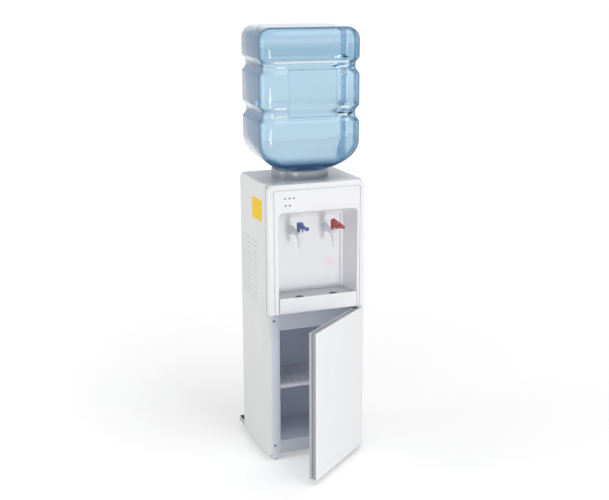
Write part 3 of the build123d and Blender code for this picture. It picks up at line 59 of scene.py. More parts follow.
bpy.ops.object.camera_add(location=camera_place)
camera = bpy.context.object
camera.name = "viewpoint"
camera.rotation_euler = Matrix((right, up, -forward)).transposed().to_euler()
camera.data.lens = camera_lens
camera.data.sensor_width = 36.0
camera.data.clip_end = 50.0
scene.camera = camera

# ---------------------------------------------------------------------------
# The studio: a white paper floor in an evenly pale room, a softbox in front at
# the height of the taps, one overhead, one beside the left panel, and a low one
# that only glosses show: it draws the bright line down the bottle's corner.
# ---------------------------------------------------------------------------


def linear(code):
    """Linear colour with full alpha from an sRGB hex code."""
    values = [int(code[i:i + 2], 16) / 255 for i in (0, 2, 4)]
    return tuple(v / 12.92 if v <= 0.04045 else ((v + 0.055) / 1.055) ** 2.4 for v in values) + (1.0,)


def add(tree, kind, settings, **sources):
    """Add a shader node, set its sockets or properties and link its inputs; _ stands for a space."""
    made = tree.nodes.new(kind)
    for key, value in settings.items():
        if isinstance(key, int) or key in made.inputs:
            made.inputs[key].default_value = value
        else:
            setattr(made, key, value)
    for key, source in sources.items():
        tree.links.new(source, made.inputs[key.replace("_", " ")])
    return made


def seen_as_background(tree):
    """1 for what the camera, a gloss or clear plastic looks at, and 0 for what only gives light."""
    ray = add(tree, "ShaderNodeLightPath", {})
    looks = ray.outputs["Is Camera Ray"]
    for kind in ("Is Glossy Ray", "Is Transmission Ray"):
        either = add(tree, "ShaderNodeMath", {"operation": "MAXIMUM"})
        tree.links.new(looks, either.inputs[0])
        tree.links.new(ray.outputs[kind], either.inputs[1])
        looks = either.outputs[0]
    return looks


room_strength = 0.56
room = bpy.data.worlds.new("pale_room")
scene.world = room
room.use_nodes = True
tree = room.node_tree
tree.nodes.clear()
strength = add(tree, "ShaderNodeMapRange", {"To Min": room_strength, "To Max": 1.0},
               Value=seen_as_background(tree))
walls = add(tree, "ShaderNodeBackground", {"Color": (1, 1, 1, 1)}, Strength=strength.outputs[0])
add(tree, "ShaderNodeOutputWorld", {}, Surface=walls.outputs[0])

for lamp_name, place, aim, width, height, watts in (
        ("front_softbox", (0.45, -3.2, 0.30), (0.0, 0.0, 0.60), 0.5, 0.5, 34.0),
        ("overhead_softbox", (0.5, -0.9, 3.1), (0.0, 0.0, 0.70), 1.2, 1.2, 18.0),
        ("left_softbox", (-3.0, 0.35, 1.0), (0.0, 0.1, 0.60), 1.0, 1.6, 22.0),
        ("gloss_softbox", (-1.85, -2.25, 0.55), (0.0, 0.0, 1.10), 0.7, 0.9, 34.0)):
    bpy.ops.object.light_add(type="AREA", location=place)
    lamp = bpy.context.object
    lamp.name = lamp_name
    lamp.data.shape = "RECTANGLE"
    lamp.data.size = width
    lamp.data.size_y = height
    lamp.data.energy = watts
    lamp.rotation_euler = (Vector(aim) - Vector(place)).to_track_quat("-Z", "Y").to_euler()
    lamp.visible_glossy = lamp_name != "front_softbox"
    lamp.visible_transmission = lamp_name != "front_softbox"
    lamp.visible_diffuse = lamp_name != "gloss_softbox"

bpy.ops.mesh.primitive_plane_add(size=40.0, location=(0, 0, 0))
floor = bpy.context.object
floor.name = "paper_floor"
paper = bpy.data.materials.new("white_paper")
paper.use_nodes = True
tree = paper.node_tree
tree.nodes.clear()
glow_starts, glow_ends = 0.5, 4.0
glow_near, glow_far = 0.30, 0.62
place = add(tree, "ShaderNodeTexCoord", {}).outputs["Object"]
away = add(tree, "ShaderNodeVectorMath", {"operation": "LENGTH"}, Vector=place)
lift = add(tree, "ShaderNodeMapRange", {"From Min": glow_starts, "From Max": glow_ends,
                                        "To Min": glow_near, "To Max": glow_far},
           Value=away.outputs["Value"])
shown = add(tree, "ShaderNodeMath", {"operation": "MULTIPLY"})
tree.links.new(lift.outputs[0], shown.inputs[0])
tree.links.new(seen_as_background(tree), shown.inputs[1])
glow = add(tree, "ShaderNodeEmission", {"Color": (1, 1, 1, 1)}, Strength=shown.outputs[0])
matte = add(tree, "ShaderNodeBsdfDiffuse", {"Color": linear("F0F0F0")})
sheet = add(tree, "ShaderNodeAddShader", {})
tree.links.new(glow.outputs[0], sheet.inputs[0])
tree.links.new(matte.outputs[0], sheet.inputs[1])
add(tree, "ShaderNodeOutputMaterial", {}, Surface=sheet.outputs[0])
floor.data.materials.append(paper)

scene.view_settings.view_transform = "Standard"

# ---------------------------------------------------------------------------
# The two side panels: steel sheet folded round front and back, with louvres
# pressed out of it, sprayed and stoved in a cool white half-gloss enamel.
# ---------------------------------------------------------------------------


def finish(name):
    """A material, its node tree, its surface shader and the object's own coordinates."""
    made = bpy.data.materials.new(name)
    made.use_nodes = True
    place = add(made.node_tree, "ShaderNodeTexCoord", {}).outputs["Object"]
    return made, made.node_tree, made.node_tree.nodes["Principled BSDF"], place


def blend_tones(tree, shader, mask, first, second):
    """Base colour that goes from one tone to another with a mask."""
    tone = add(tree, "ShaderNodeMix", {"data_type": "RGBA", 6: linear(first), 7: linear(second)},
               Factor=mask)
    tree.links.new(tone.outputs[2], shader.inputs["Base Color"])


def spread_gloss(tree, shader, mask, smoothest, roughest):
    """Roughness between two values, following a mask."""
    gloss = add(tree, "ShaderNodeMapRange", {"To Min": smoothest, "To Max": roughest}, Value=mask)
    tree.links.new(gloss.outputs[0], shader.inputs["Roughness"])


def raise_grain(tree, shader, height, depth, strength):
    """Fine relief from a height pattern, its depth in metres."""
    relief = add(tree, "ShaderNodeBump", {"Strength": strength, "Distance": depth}, Height=height)
    tree.links.new(relief.outputs[0], shader.inputs["Normal"])


def stoved_enamel(name, tone, shade, gloss=0.36):
    """Sprayed enamel: its tone drifts over 150 mm, and its orange peel is 1.6 mm across."""
    made, tree, shader, place = finish(name)
    drift = add(tree, "ShaderNodeTexNoise", {"Scale": 1 / 0.150, "Detail": 3.0}, Vector=place)
    blend_tones(tree, shader, drift.outputs["Fac"], tone, shade)
    spread_gloss(tree, shader, drift.outputs["Fac"], gloss - 0.05, gloss + 0.05)
    peel = add(tree, "ShaderNodeTexNoise", {"Scale": 1 / 0.0016, "Detail": 1.0}, Vector=place)
    raise_grain(tree, shader, peel.outputs["Fac"], 0.00005, 0.15)
    return made


def dress(material, *names):
    """Give nodes of the frame one material."""
    for name in names:
        nodes[name].data.materials.clear()
        nodes[name].data.materials.append(material)


dress(stoved_enamel("white_stoved_enamel", "E2E6E4", "DADEDC"), "left_side_panel", "right_side_panel")

# ---------------------------------------------------------------------------
# The zinc-coated sheets that nobody paints: the pan, the back and the two inner
# shelves. The coating has spangles about 9 mm across, each of its own gloss.
# ---------------------------------------------------------------------------
galvanised, tree, shader, place = finish("galvanised_sheet")
spangle = add(tree, "ShaderNodeTexVoronoi", {"Scale": 1 / 0.009}, Vector=place)
parts = add(tree, "ShaderNodeSeparateColor", {}, Color=spangle.outputs["Color"])
blend_tones(tree, shader, parts.outputs[0], "A9ADB0", "BEC2C5")
spread_gloss(tree, shader, parts.outputs[1], 0.32, 0.50)
shader.inputs["Metallic"].default_value = 0.9
dress(galvanised, "base_pan", "back_panel", "divider_shelf", "tank_shelf")

# ---------------------------------------------------------------------------
# The front fascia: one moulding of glossy white ABS, hung on the cabinet. A
# groove runs round its face, and the bay is sunk in it with softly rolled edges.
# ---------------------------------------------------------------------------


def moulded(name, tone, shade, gloss=0.30, grain=0.0009, strength=0.05):
    """Moulded plastic: its tone drifts over 90 mm with the flow, and the tool leaves a fine grain."""
    made, tree, shader, place = finish(name)
    flow = add(tree, "ShaderNodeTexNoise", {"Scale": 1 / 0.090, "Detail": 2.0}, Vector=place)
    blend_tones(tree, shader, flow.outputs["Fac"], tone, shade)
    spread_gloss(tree, shader, flow.outputs["Fac"], gloss - 0.04, gloss + 0.04)
    tool = add(tree, "ShaderNodeTexNoise", {"Scale": 1 / grain, "Detail": 1.0}, Vector=place)
    raise_grain(tree, shader, tool.outputs["Fac"], 0.00004, strength)
    shader.inputs["IOR"].default_value = 1.53
    return made


def pick(piece, kind, wanted):
    """In edit mode, select only the vertices, edges or faces that a test accepts."""
    bpy.ops.mesh.select_mode(type=kind)
    mesh = bmesh.from_edit_mesh(piece.data)
    for group in (mesh.faces, mesh.edges, mesh.verts):
        for item in group:
            item.select_set(False)
    for item in {"VERT": mesh.verts, "EDGE": mesh.edges, "FACE": mesh.faces}[kind]:
        if wanted(item):
            item.select_set(True)
    mesh.select_flush_mode()
    bmesh.update_edit_mesh(piece.data)


def slab(name, low, high):
    """A box between two corners in millimetres, left in edit mode with everything selected."""
    bpy.ops.object.select_all(action="DESELECT")
    centre = [(a + b) / 2000 for a, b in zip(low, high)]
    size = [(b - a) / 1000 for a, b in zip(low, high)]
    bpy.ops.mesh.primitive_cube_add(size=1, location=centre, scale=size)
    piece = bpy.context.object
    piece.name = name
    bpy.ops.object.transform_apply(location=True, rotation=True, scale=True)
    bpy.ops.object.mode_set(mode="EDIT")
    return piece


def merged(pieces):
    """Several meshes as one object, active and in edit mode."""
    bpy.ops.object.select_all(action="DESELECT")
    for piece in pieces:
        piece.select_set(True)
    bpy.context.view_layer.objects.active = pieces[0]
    bpy.ops.object.join()
    bpy.ops.object.mode_set(mode="EDIT")
    return pieces[0]


def settle(piece, material, body, stands_for=(), smooth=35):
    """Finish a piece: smooth it, give it its material and body, and hide the nodes it stands for."""
    bpy.ops.object.mode_set(mode="OBJECT")
    bpy.ops.object.select_all(action="DESELECT")
    piece.select_set(True)
    bpy.context.view_layer.objects.active = piece
    bpy.ops.object.shade_smooth_by_angle(angle=math.radians(smooth))
    piece.data.materials.clear()
    piece.data.materials.append(material)
    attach(piece, body)
    if stands_for:
        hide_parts(*stands_for)


white_abs = moulded("white_glossy_abs", "EFEFF2", "E9EAED", 0.24)
fascia_half, fascia_low, fascia_high = 0.154, 0.484, 0.880
fascia_front = -0.069
fascia_corner = 0.022
edge_round = 0.0025
groove_inset, groove_slope, groove_floor, groove_depth = 0.0138, 0.0006, 0.0030, 0.0042
start_inset = 0.0005
smallest_field = 0.07
seam_front, seam_width, seam_depth = -0.045, 0.003, 0.0025
bay_x, bay_half, bay_top, bay_corner = 0.004, 0.131, 0.799, 0.018
roll_radius, cove_radius = 0.005, 0.009
straight_depth = 0.0733
back_share, ceiling_share = 0.885, 0.926
wall_thickness = 0.0025

fascia = slab("bay_fascia", (-154, -69, 484), (154, -45, 880))
pick(fascia, "FACE", lambda face: face.normal.y > 0.9 or face.normal.z < -0.9)
bpy.ops.mesh.delete(type="FACE")
pick(fascia, "EDGE", lambda edge: abs(edge.verts[0].co.y - edge.verts[1].co.y) > 0.01
     and edge.verts[0].co.z > fascia_high - 0.001)
bpy.ops.mesh.bevel(offset=fascia_corner, segments=12, affect="EDGES")
pick(fascia, "EDGE", lambda edge: all(vert.co.y > seam_front - 1e-5 for vert in edge.verts))
bpy.ops.mesh.extrude_region_move()
drawn_in = (1 - seam_depth / fascia_half, 1, 1 - seam_depth / (fascia_high - fascia_low))
bpy.ops.transform.resize(value=drawn_in, center_override=(0, seam_front, fascia_low))
bpy.ops.mesh.extrude_region_move(TRANSFORM_OT_translate={"value": (0, seam_width, 0)})
pick(fascia, "EDGE", lambda edge: edge.is_manifold
     and all(vert.co.y < fascia_front + 1e-5 for vert in edge.verts))
bpy.ops.mesh.bevel(offset=edge_round, segments=5, affect="EDGES")
pick(fascia, "FACE", lambda face: face.normal.y < -0.9999)
bpy.ops.mesh.inset(thickness=groove_inset - edge_round, use_boundary=False)
bpy.ops.mesh.inset(thickness=groove_slope, depth=-groove_depth, use_boundary=False)
bpy.ops.mesh.inset(thickness=groove_floor, use_boundary=False)
bpy.ops.mesh.inset(thickness=groove_slope, depth=groove_depth, use_boundary=False)
bpy.ops.mesh.inset(thickness=start_inset, use_boundary=False)
taken = groove_inset + 2 * groove_slope + groove_floor + start_inset
field_half = fascia_half - taken
arc = fascia_corner - taken
for side in (-1, 1):
    field_centre = Vector((side * (field_half - arc), fascia_front, fascia_high - taken - arc))
    bay_centre = Vector((bay_x + side * (bay_half - bay_corner), fascia_front, bay_top - bay_corner))
    pick(fascia, "VERT", lambda vert: vert.co.x * side > 0 and vert.co.z > fascia_low + 0.01
         and any(face.calc_area() > smallest_field for face in vert.link_faces))
    bpy.ops.transform.resize(value=(bay_corner / arc, 1, bay_corner / arc), center_override=field_centre)
    bpy.ops.transform.translate(value=bay_centre - field_centre)
    pick(fascia, "VERT", lambda vert: vert.co.x * side > 0 and vert.co.z < fascia_low + 1e-5
         and any(face.calc_area() > smallest_field for face in vert.link_faces))
    bpy.ops.transform.translate(value=(bay_x + side * (bay_half - field_half), 0, 0))
pick(fascia, "FACE", lambda face: face.calc_area() > smallest_field)
for before, after in zip((0, 15, 30, 45, 60, 75), (15, 30, 45, 60, 75, 84)):
    start, end = math.radians(before), math.radians(after)
    bpy.ops.mesh.inset(thickness=roll_radius * (math.sin(end) - math.sin(start)),
                       depth=-roll_radius * (math.cos(start) - math.cos(end)), use_boundary=False)
bpy.ops.mesh.inset(thickness=start_inset, depth=-straight_depth, use_boundary=False)
bpy.ops.transform.resize(value=(back_share, 1, ceiling_share), center_override=(bay_x, 0, fascia_low))
for before, after in zip((84, 70, 56, 42, 28, 14), (70, 56, 42, 28, 14, 0)):
    start, end = math.radians(before), math.radians(after)
    bpy.ops.mesh.inset(thickness=cove_radius * (math.cos(end) - math.cos(start)),
                       depth=-cove_radius * (math.sin(start) - math.sin(end)), use_boundary=False)
bpy.ops.object.mode_set(mode="OBJECT")
wall = fascia.modifiers.new("wall", "SOLIDIFY")
wall.thickness = wall_thickness
wall.offset = -1.0
bpy.ops.object.modifier_apply(modifier="wall")

bay_floor = slab("bay_floor", (-121, -66, 484), (129, 18, 486.5))
pick(bay_floor, "VERT", lambda vert: vert.co.y > 0)
bpy.ops.transform.resize(value=(0.89, 1, 1), center_override=(bay_x, 0, 0))
pick(bay_floor, "EDGE", lambda edge: all(vert.co.z > 0.486 and vert.co.y < -0.06 for vert in edge.verts))
bpy.ops.mesh.bevel(offset=0.001, segments=2, affect="EDGES")
bpy.ops.object.mode_set(mode="OBJECT")
settle(merged([fascia, bay_floor]), white_abs, "cabinet", ("front_fascia",))

dress(moulded("smoked_lamp_lens", "34373E", "2A2D33", 0.12), "lamp_lenses")

# ---------------------------------------------------------------------------
# Two plain stickers of coated paper: a yellow one on the left side panel and a
# small pale round one on the back wall of the bay. Both are blank.
# ---------------------------------------------------------------------------


def coated_paper(name, tone, shade):
    """Coated paper: fibres show as a mottle 3 mm across under a satin film."""
    made, tree, shader, place = finish(name)
    fibre = add(tree, "ShaderNodeTexNoise", {"Scale": 1 / 0.003, "Detail": 4.0}, Vector=place)
    blend_tones(tree, shader, fibre.outputs["Fac"], tone, shade)
    spread_gloss(tree, shader, fibre.outputs["Fac"], 0.40, 0.55)
    raise_grain(tree, shader, fibre.outputs["Fac"], 0.00003, 0.2)
    shader.inputs["Specular IOR Level"].default_value = 0.2
    return made


label = slab("yellow_label", (-155.35, -8, 759.5), (-155.05, 84, 825.5))
pick(label, "EDGE", lambda edge: abs(edge.verts[0].co.x - edge.verts[1].co.x) > 0.0002)
bpy.ops.mesh.bevel(offset=0.003, segments=4, affect="EDGES")
settle(label, coated_paper("yellow_coated_paper", "FBD300", "F5C900"), "cabinet")

bpy.ops.object.select_all(action="DESELECT")
bpy.ops.mesh.primitive_cylinder_add(vertices=48, radius=0.0165, depth=0.0003,
                                    location=(0.072, 0.01765, 0.611), rotation=(math.radians(90), 0, 0))
disc = bpy.context.object
disc.name = "round_sticker"
bpy.ops.object.transform_apply(location=True, rotation=True, scale=True)
bpy.ops.object.mode_set(mode="EDIT")
pick(disc, "FACE", lambda face: face.normal.y < -0.9)
bpy.ops.mesh.inset(thickness=0.0020)
settle(disc, coated_paper("pale_coated_paper", "F4E8EC", "F0E0E6"), "cabinet")

# ---------------------------------------------------------------------------
# The top cover and the round bottle seat: two mouldings of ABS laid on top of the
# cabinet. The cover is white and a little duller than the fascia; the seat's grey is
# painted shade, standing in for the bottle's shadow on it.
# ---------------------------------------------------------------------------
dress(moulded("cover_abs", "E2E3E6", "DCDEE1", 0.30), "top_cover")
# Painted shade: the seat's grey stands in for the bottle's shadow on a white moulding.
dress(moulded("collar_abs_painted_shade", "A9AFB6", "A2A9B0", 0.22), "bottle_collar")

# ---------------------------------------------------------------------------
# The bottle, upside down on its seat and full of water: blown polycarbonate
# with a blue tint, two belts pressed in all round it, and a raised blank panel.
# ---------------------------------------------------------------------------
bottle_y = 0.0805
bottle_turn = math.radians(5.5)
bottle_half = 0.153
body_low, body_high = 1.0001, 1.3321
upright_radius, base_radius = 0.042, 0.038
shoulder_drop = 0.105
neck_low = 0.862
belt_heights = (1.080, 1.220)
belt_reach, belt_flat, belt_depth = 0.026, 0.006, 0.010
belt_cuts = 13
panel_half, panel_low, panel_high = 0.074, 1.0745, 1.2130
panel_step = 0.0015

bottle = slab("water_bottle", (-153, -153, 1000.1), (153, 153, 1332.1))
pick(bottle, "EDGE", lambda edge: abs(edge.verts[0].co.z - edge.verts[1].co.z) > 0.1)
bpy.ops.mesh.bevel(offset=upright_radius, segments=12, affect="EDGES")
pick(bottle, "FACE", lambda face: face.normal.z < -0.9)
reach, level, rounded = bottle_half, body_low, 0.0
for angle in (6, 12, 18, 24, 30, 36, 42, 48, 53, 58, 63, 67, 71, 75, 79):
    lean = math.radians(angle)
    next_reach = bottle_half * math.cos(lean)
    next_level = body_low - shoulder_drop * math.sin(lean)
    bpy.ops.mesh.extrude_region_move(TRANSFORM_OT_translate={"value": (0, 0, next_level - level)})
    bpy.ops.transform.resize(value=(next_reach / reach, next_reach / reach, 1))
    roundness = min(1.0, math.sin(lean) / math.sin(math.radians(58))) ** 1.6
    if roundness > rounded:
        bpy.ops.transform.tosphere(value=(roundness - rounded) / (1 - rounded))
    reach, level, rounded = next_reach, next_level, roundness
bpy.ops.mesh.inset(thickness=0.0020)
bpy.ops.mesh.inset(thickness=0.0020, depth=0.0010)
bpy.ops.mesh.extrude_region_move(TRANSFORM_OT_translate={"value": (0, 0, neck_low - level)})
pick(bottle, "EDGE", lambda edge: all(vert.co.z > body_high - 1e-5 for vert in edge.verts))
bpy.ops.mesh.bevel(offset=base_radius, segments=10, affect="EDGES")
for belt_z in belt_heights:
    for step in range(-belt_cuts, belt_cuts + 1):
        bpy.ops.mesh.select_all(action="SELECT")
        bpy.ops.mesh.bisect(plane_co=(0, 0, belt_z + step * belt_reach / belt_cuts), plane_no=(0, 0, 1))
for edge_x in (-panel_half - panel_step, -panel_half, panel_half, panel_half + panel_step):
    bpy.ops.mesh.select_all(action="SELECT")
    bpy.ops.mesh.bisect(plane_co=(edge_x, 0, 0), plane_no=(1, 0, 0))
for edge_z in (panel_low - panel_step, panel_low, panel_high, panel_high + panel_step):
    bpy.ops.mesh.select_all(action="SELECT")
    bpy.ops.mesh.bisect(plane_co=(0, 0, edge_z), plane_no=(0, 0, 1))
bpy.ops.mesh.select_all(action="SELECT")
bpy.ops.mesh.remove_doubles(threshold=0.00005)
bpy.ops.object.mode_set(mode="OBJECT")
for vert in bottle.data.vertices:
    away = min(abs(vert.co.z - belt_z) for belt_z in belt_heights)
    on_panel = (vert.co.y < -bottle_half + 0.001 and abs(vert.co.x) < panel_half + 1e-4
                and panel_low - 1e-4 < vert.co.z < panel_high + 1e-4)
    if away < belt_reach and not on_panel:
        rise = min(1.0, (belt_reach - away) / (belt_reach - belt_flat))
        pressed = 1 - belt_depth / bottle_half * rise * rise * (3 - 2 * rise)
        vert.co.x *= pressed
        vert.co.y *= pressed
bpy.ops.object.mode_set(mode="EDIT")
pick(bottle, "FACE", lambda face: face.normal.y < -0.99
     and abs(face.calc_center_median().x) < panel_half
     and panel_low < face.calc_center_median().z < panel_high)
bpy.ops.mesh.inset(thickness=0.0012)
bpy.ops.mesh.inset(thickness=0.0008, depth=-0.0024)
bpy.ops.mesh.inset(thickness=0.0010)
bpy.ops.mesh.inset(thickness=0.0008, depth=0.0018)


def stand_turned():
    """Turn what is being edited as the bottle stands and move it onto the bottle's axis."""
    bpy.ops.mesh.select_all(action="SELECT")
    bpy.ops.transform.rotate(value=bottle_turn, orient_axis="Z", center_override=(0, 0, 0))
    bpy.ops.transform.translate(value=(0, bottle_y, 0))


stand_turned()
bpy.ops.mesh.normals_make_consistent(inside=False)

# Clear enough to see through, with the water's depth taking the blue up. Painted
# shade darkens it toward its edges and its foot, standing in for the dark
# surroundings seen through it, with a painted darker band near its top; the panel
# is etched with pebbles 5 mm across.


def ramp_stops(ramp, stops):
    """Give a colour ramp its stops, each a position and a tone."""
    for position, tone in stops:
        stop = ramp.color_ramp.elements.new(position)
        stop.color = linear(tone)
    ramp.color_ramp.elements.remove(ramp.color_ramp.elements[0])
    ramp.color_ramp.elements.remove(ramp.color_ramp.elements[-1])


def blue_depth(tree):
    """The blue that light takes up on its way through the filled bottle."""
    depth = add(tree, "ShaderNodeVolumeAbsorption", {"Color": linear("86BCD8"), "Density": 2.4})
    tree.links.new(depth.outputs[0], tree.nodes["Material Output"].inputs["Volume"])


mask_starts, mask_full = 0.0040, 0.0020
polycarbonate, tree, shader, place = finish("tinted_polycarbonate")
ripple = add(tree, "ShaderNodeTexNoise", {"Scale": 1 / 0.045, "Detail": 1.0}, Vector=place)
soft = add(tree, "ShaderNodeBump", {"Strength": 0.12, "Distance": 0.002}, Height=ripple.outputs["Fac"])
own = add(tree, "ShaderNodeMapping", {"Location": (0, -bottle_y, 0)}, Vector=place)
own = add(tree, "ShaderNodeMapping", {"Rotation": (0, 0, bottle_turn)}, Vector=own.outputs[0])
spot = add(tree, "ShaderNodeSeparateXYZ", {}, Vector=own.outputs[0])
within = add(tree, "ShaderNodeMapRange", {"From Min": mask_starts - bottle_half,
                                          "From Max": mask_full - bottle_half},
             Value=spot.outputs["Y"]).outputs[0]
for output, middle, half in (("X", 0.0, panel_half), ("Z", (panel_low + panel_high) / 2,
                                                     (panel_high - panel_low) / 2)):
    off = add(tree, "ShaderNodeMath", {"operation": "SUBTRACT", 1: middle})
    tree.links.new(spot.outputs[output], off.inputs[0])
    away = add(tree, "ShaderNodeMath", {"operation": "ABSOLUTE"})
    tree.links.new(off.outputs[0], away.inputs[0])
    inside = add(tree, "ShaderNodeMapRange", {"From Min": half, "From Max": half - 0.001},
                 Value=away.outputs[0])
    narrowed = add(tree, "ShaderNodeMath", {"operation": "MULTIPLY"})
    tree.links.new(inside.outputs[0], narrowed.inputs[0])
    tree.links.new(within, narrowed.inputs[1])
    within = narrowed.outputs[0]
spread_gloss(tree, shader, within, 0.09, 0.26)
pebble = add(tree, "ShaderNodeTexVoronoi", {"Scale": 1 / 0.005, "feature": "SMOOTH_F1"}, Vector=place)
etched = add(tree, "ShaderNodeMath", {"operation": "MULTIPLY"})
tree.links.new(pebble.outputs["Distance"], etched.inputs[0])
tree.links.new(within, etched.inputs[1])
relief = add(tree, "ShaderNodeBump", {"Strength": 0.4, "Distance": 0.0012}, Height=etched.outputs[0],
             Normal=soft.outputs[0])
tree.links.new(relief.outputs[0], shader.inputs["Normal"])
# Tint and painted shade: pale blue face-on, going navy toward the edges as painted shade.
slant = add(tree, "ShaderNodeLayerWeight", {"Blend": 0.5})
tint_and_edge_shade = add(tree, "ShaderNodeValToRGB", {}, Fac=slant.outputs["Facing"])
ramp_stops(tint_and_edge_shade, ((0.0, "E4F1F7"), (0.30, "D9EAF3"), (0.46, "86ABC0"), (0.58, "225272"), (0.80, "0F375C"),
                  (1.0, "0C2246")))
# Painted shade by height: navy toward the foot and a painted darker band near the top.
height = add(tree, "ShaderNodeSeparateXYZ", {}, Vector=place)
share = add(tree, "ShaderNodeMapRange", {"From Min": neck_low, "From Max": body_high},
            Value=height.outputs["Z"])
painted_height_shade = add(tree, "ShaderNodeValToRGB", {}, Fac=share.outputs[0])
ramp_stops(painted_height_shade, ((0.0, "12365F"), (0.14, "235582"), (0.21, "FFFFFF"), (0.79, "FFFFFF"), (0.81, "DDEBF2"),
                   (0.87, "DDEBF2"), (0.89, "FFFFFF")))
both = add(tree, "ShaderNodeMix", {"data_type": "RGBA", "blend_type": "MULTIPLY", 0: 1.0})
tree.links.new(tint_and_edge_shade.outputs["Color"], both.inputs[6])
tree.links.new(painted_height_shade.outputs["Color"], both.inputs[7])
tree.links.new(both.outputs[2], shader.inputs["Base Color"])
shader.inputs["Transmission Weight"].default_value = 1.0
shader.inputs["IOR"].default_value = 1.34
blue_depth(tree)
settle(bottle, polycarbonate, "bottle", ("bottle",), smooth=40)

# Two pale ribs lie in each belt, broken by the panel except for the topmost. Their
# near-white colour is a painted highlight, standing in for the bright lines that light draws along the
# belts.
rib_places = ((1233.7, 146.3, ((-115, 108),)), (1219.6, 143.0, ((-108, -80), (82, 106))),
              (1102.7, 152.3, ((-115, -80), (82, 112))), (1079.6, 143.0, ((-108, -80), (82, 106))))
rib_proud, rib_sunk, rib_half = 2.8, 2.0, 2.9
bars = []
for rib_z, surface, stretches in rib_places:
    for start, end in stretches:
        bar = slab("bottle_ribs", (start, -surface - rib_proud, rib_z - rib_half),
                   (end, -surface + rib_sunk, rib_z + rib_half))
        pick(bar, "EDGE", lambda edge: all(vert.co.y < -surface / 1000 for vert in edge.verts))
        bpy.ops.mesh.bevel(offset=0.0010, segments=3, affect="EDGES")
        stand_turned()
        bpy.ops.object.mode_set(mode="OBJECT")
        bars.append(bar)
# Painted highlight: the ribs' near-white colour stands in for lit lines on the belts.
rib_highlight_paint, tree, shader, place = finish("rib_painted_highlight")
rib_mottle = add(tree, "ShaderNodeTexNoise", {"Scale": 1 / 0.002, "Detail": 2.0}, Vector=place)
blend_tones(tree, shader, rib_mottle.outputs["Fac"], "F2FAFE", "E8F5FB")
spread_gloss(tree, shader, rib_mottle.outputs["Fac"], 0.25, 0.40)
shader.inputs["Transmission Weight"].default_value = 0.12
shader.inputs["IOR"].default_value = 1.58
settle(merged(bars), rib_highlight_paint, "bottle")

dress(moulded("blue_polythene", "3C6FB4", "3565A6", 0.42), "bottle_cap")

# ---------------------------------------------------------------------------
# The two taps: moulded white bodies, each with a tapered spout, a flange against
# the bay wall that a nut holds from behind, and two ears for the lever's pin.
# ---------------------------------------------------------------------------


def drawn_out(name, place, axis, profile, sides=40):
    """A disc drawn out along an axis through steps of (radius, distance), all in millimetres."""
    bpy.ops.object.select_all(action="DESELECT")
    lean = Vector((0, 0, 1)).rotation_difference(axis).to_euler()
    start = (place + axis * profile[0][1]) / 1000
    bpy.ops.mesh.primitive_circle_add(vertices=sides, radius=profile[0][0] / 1000, fill_type="NGON",
                                      location=start, rotation=lean)
    piece = bpy.context.object
    piece.name = name
    bpy.ops.object.transform_apply(location=True, rotation=True, scale=True)
    bpy.ops.object.mode_set(mode="EDIT")
    bpy.ops.mesh.select_all(action="SELECT")
    for (radius, distance), (next_radius, next_distance) in zip(profile, profile[1:]):
        step = axis * (next_distance - distance) / 1000
        bpy.ops.mesh.extrude_region_move(TRANSFORM_OT_translate={"value": step})
        ratio = next_radius / radius
        bpy.ops.transform.resize(value=[1.0 if abs(part) > 0.5 else ratio for part in axis])
    bpy.ops.mesh.select_all(action="SELECT")
    bpy.ops.mesh.remove_doubles(threshold=1e-6)
    bpy.ops.mesh.normals_make_consistent(inside=False)
    bpy.ops.object.mode_set(mode="OBJECT")
    return piece


across, inward, upward = Vector((1, 0, 0)), Vector((0, 1, 0)), Vector((0, 0, 1))
tap_y, tap_z = -54.0, 722.0
tap_xs = {"cold": -50.5, "hot": 58.5}
pivot_y, pivot_z = -60.0, 738.0
valve_steps = ((2.6, 8.4), (2.6, 9.0), (8.2, 9.0), (9.4, 8.6), (10.0, 7.6), (10.0, -8.6), (9.7, -9.6),
               (9.0, -10.4), (7.6, -11.6), (7.2, -13.5), (6.9, -17.0), (5.0, -37.6), (5.0, -38.6),
               (5.7, -39.2), (5.9, -40.4), (5.6, -41.6), (5.0, -42.0), (3.4, -42.0), (3.0, -40.0),
               (3.0, -12.0))
barrel_steps = ((8.6, -2.0), (8.6, 60.0), (9.0, 64.0), (10.6, 66.4), (13.2, 67.4), (14.0, 68.4),
                (14.0, 71.8))
shank_steps = ((7.0, 71.0), (7.0, 84.0))
elbow_steps = ((5.5, 4.0), (5.5, -11.6), (5.9, -12.0), (5.5, -13.0))
elbow_y = 86.0
pin_steps = ((1.2, -4.6), (1.5, -4.3), (1.5, 4.3), (1.2, 4.6))
ear_half, ear_deep, ear_low, ear_high = 3.3, 2.2, 730.0, 741.2
tap_white = moulded("tap_white_abs", "E4E5EA", "DDDFE4", 0.22)
for kind, tap_x in tap_xs.items():
    place = Vector((tap_x, tap_y, tap_z))
    forms = [drawn_out(f"{kind}_tap", place, upward, valve_steps)]
    forms.append(drawn_out("barrel", place, inward, barrel_steps))
    forms.append(drawn_out("shank", place, inward, shank_steps, 24))
    forms.append(drawn_out("elbow", place + Vector((0, elbow_y, 0)), upward, elbow_steps, 24))
    forms.append(drawn_out("pin", Vector((tap_x, pivot_y, pivot_z)), across, pin_steps, 20))
    ears = slab("ears", (tap_x - ear_half, pivot_y - ear_deep, ear_low),
                (tap_x + ear_half, pivot_y + ear_deep, ear_high))
    pick(ears, "EDGE", lambda edge: all(vert.co.z > 0.741 for vert in edge.verts)
         and abs(edge.verts[0].co.x - edge.verts[1].co.x) > 0.001)
    bpy.ops.mesh.bevel(offset=0.0018, segments=4, affect="EDGES")
    bpy.ops.object.mode_set(mode="OBJECT")
    forms.append(ears)
    settle(merged(forms), tap_white, "cabinet", (f"{kind}_tap_body",), smooth=40)
dress(tap_white, "tap_nuts")

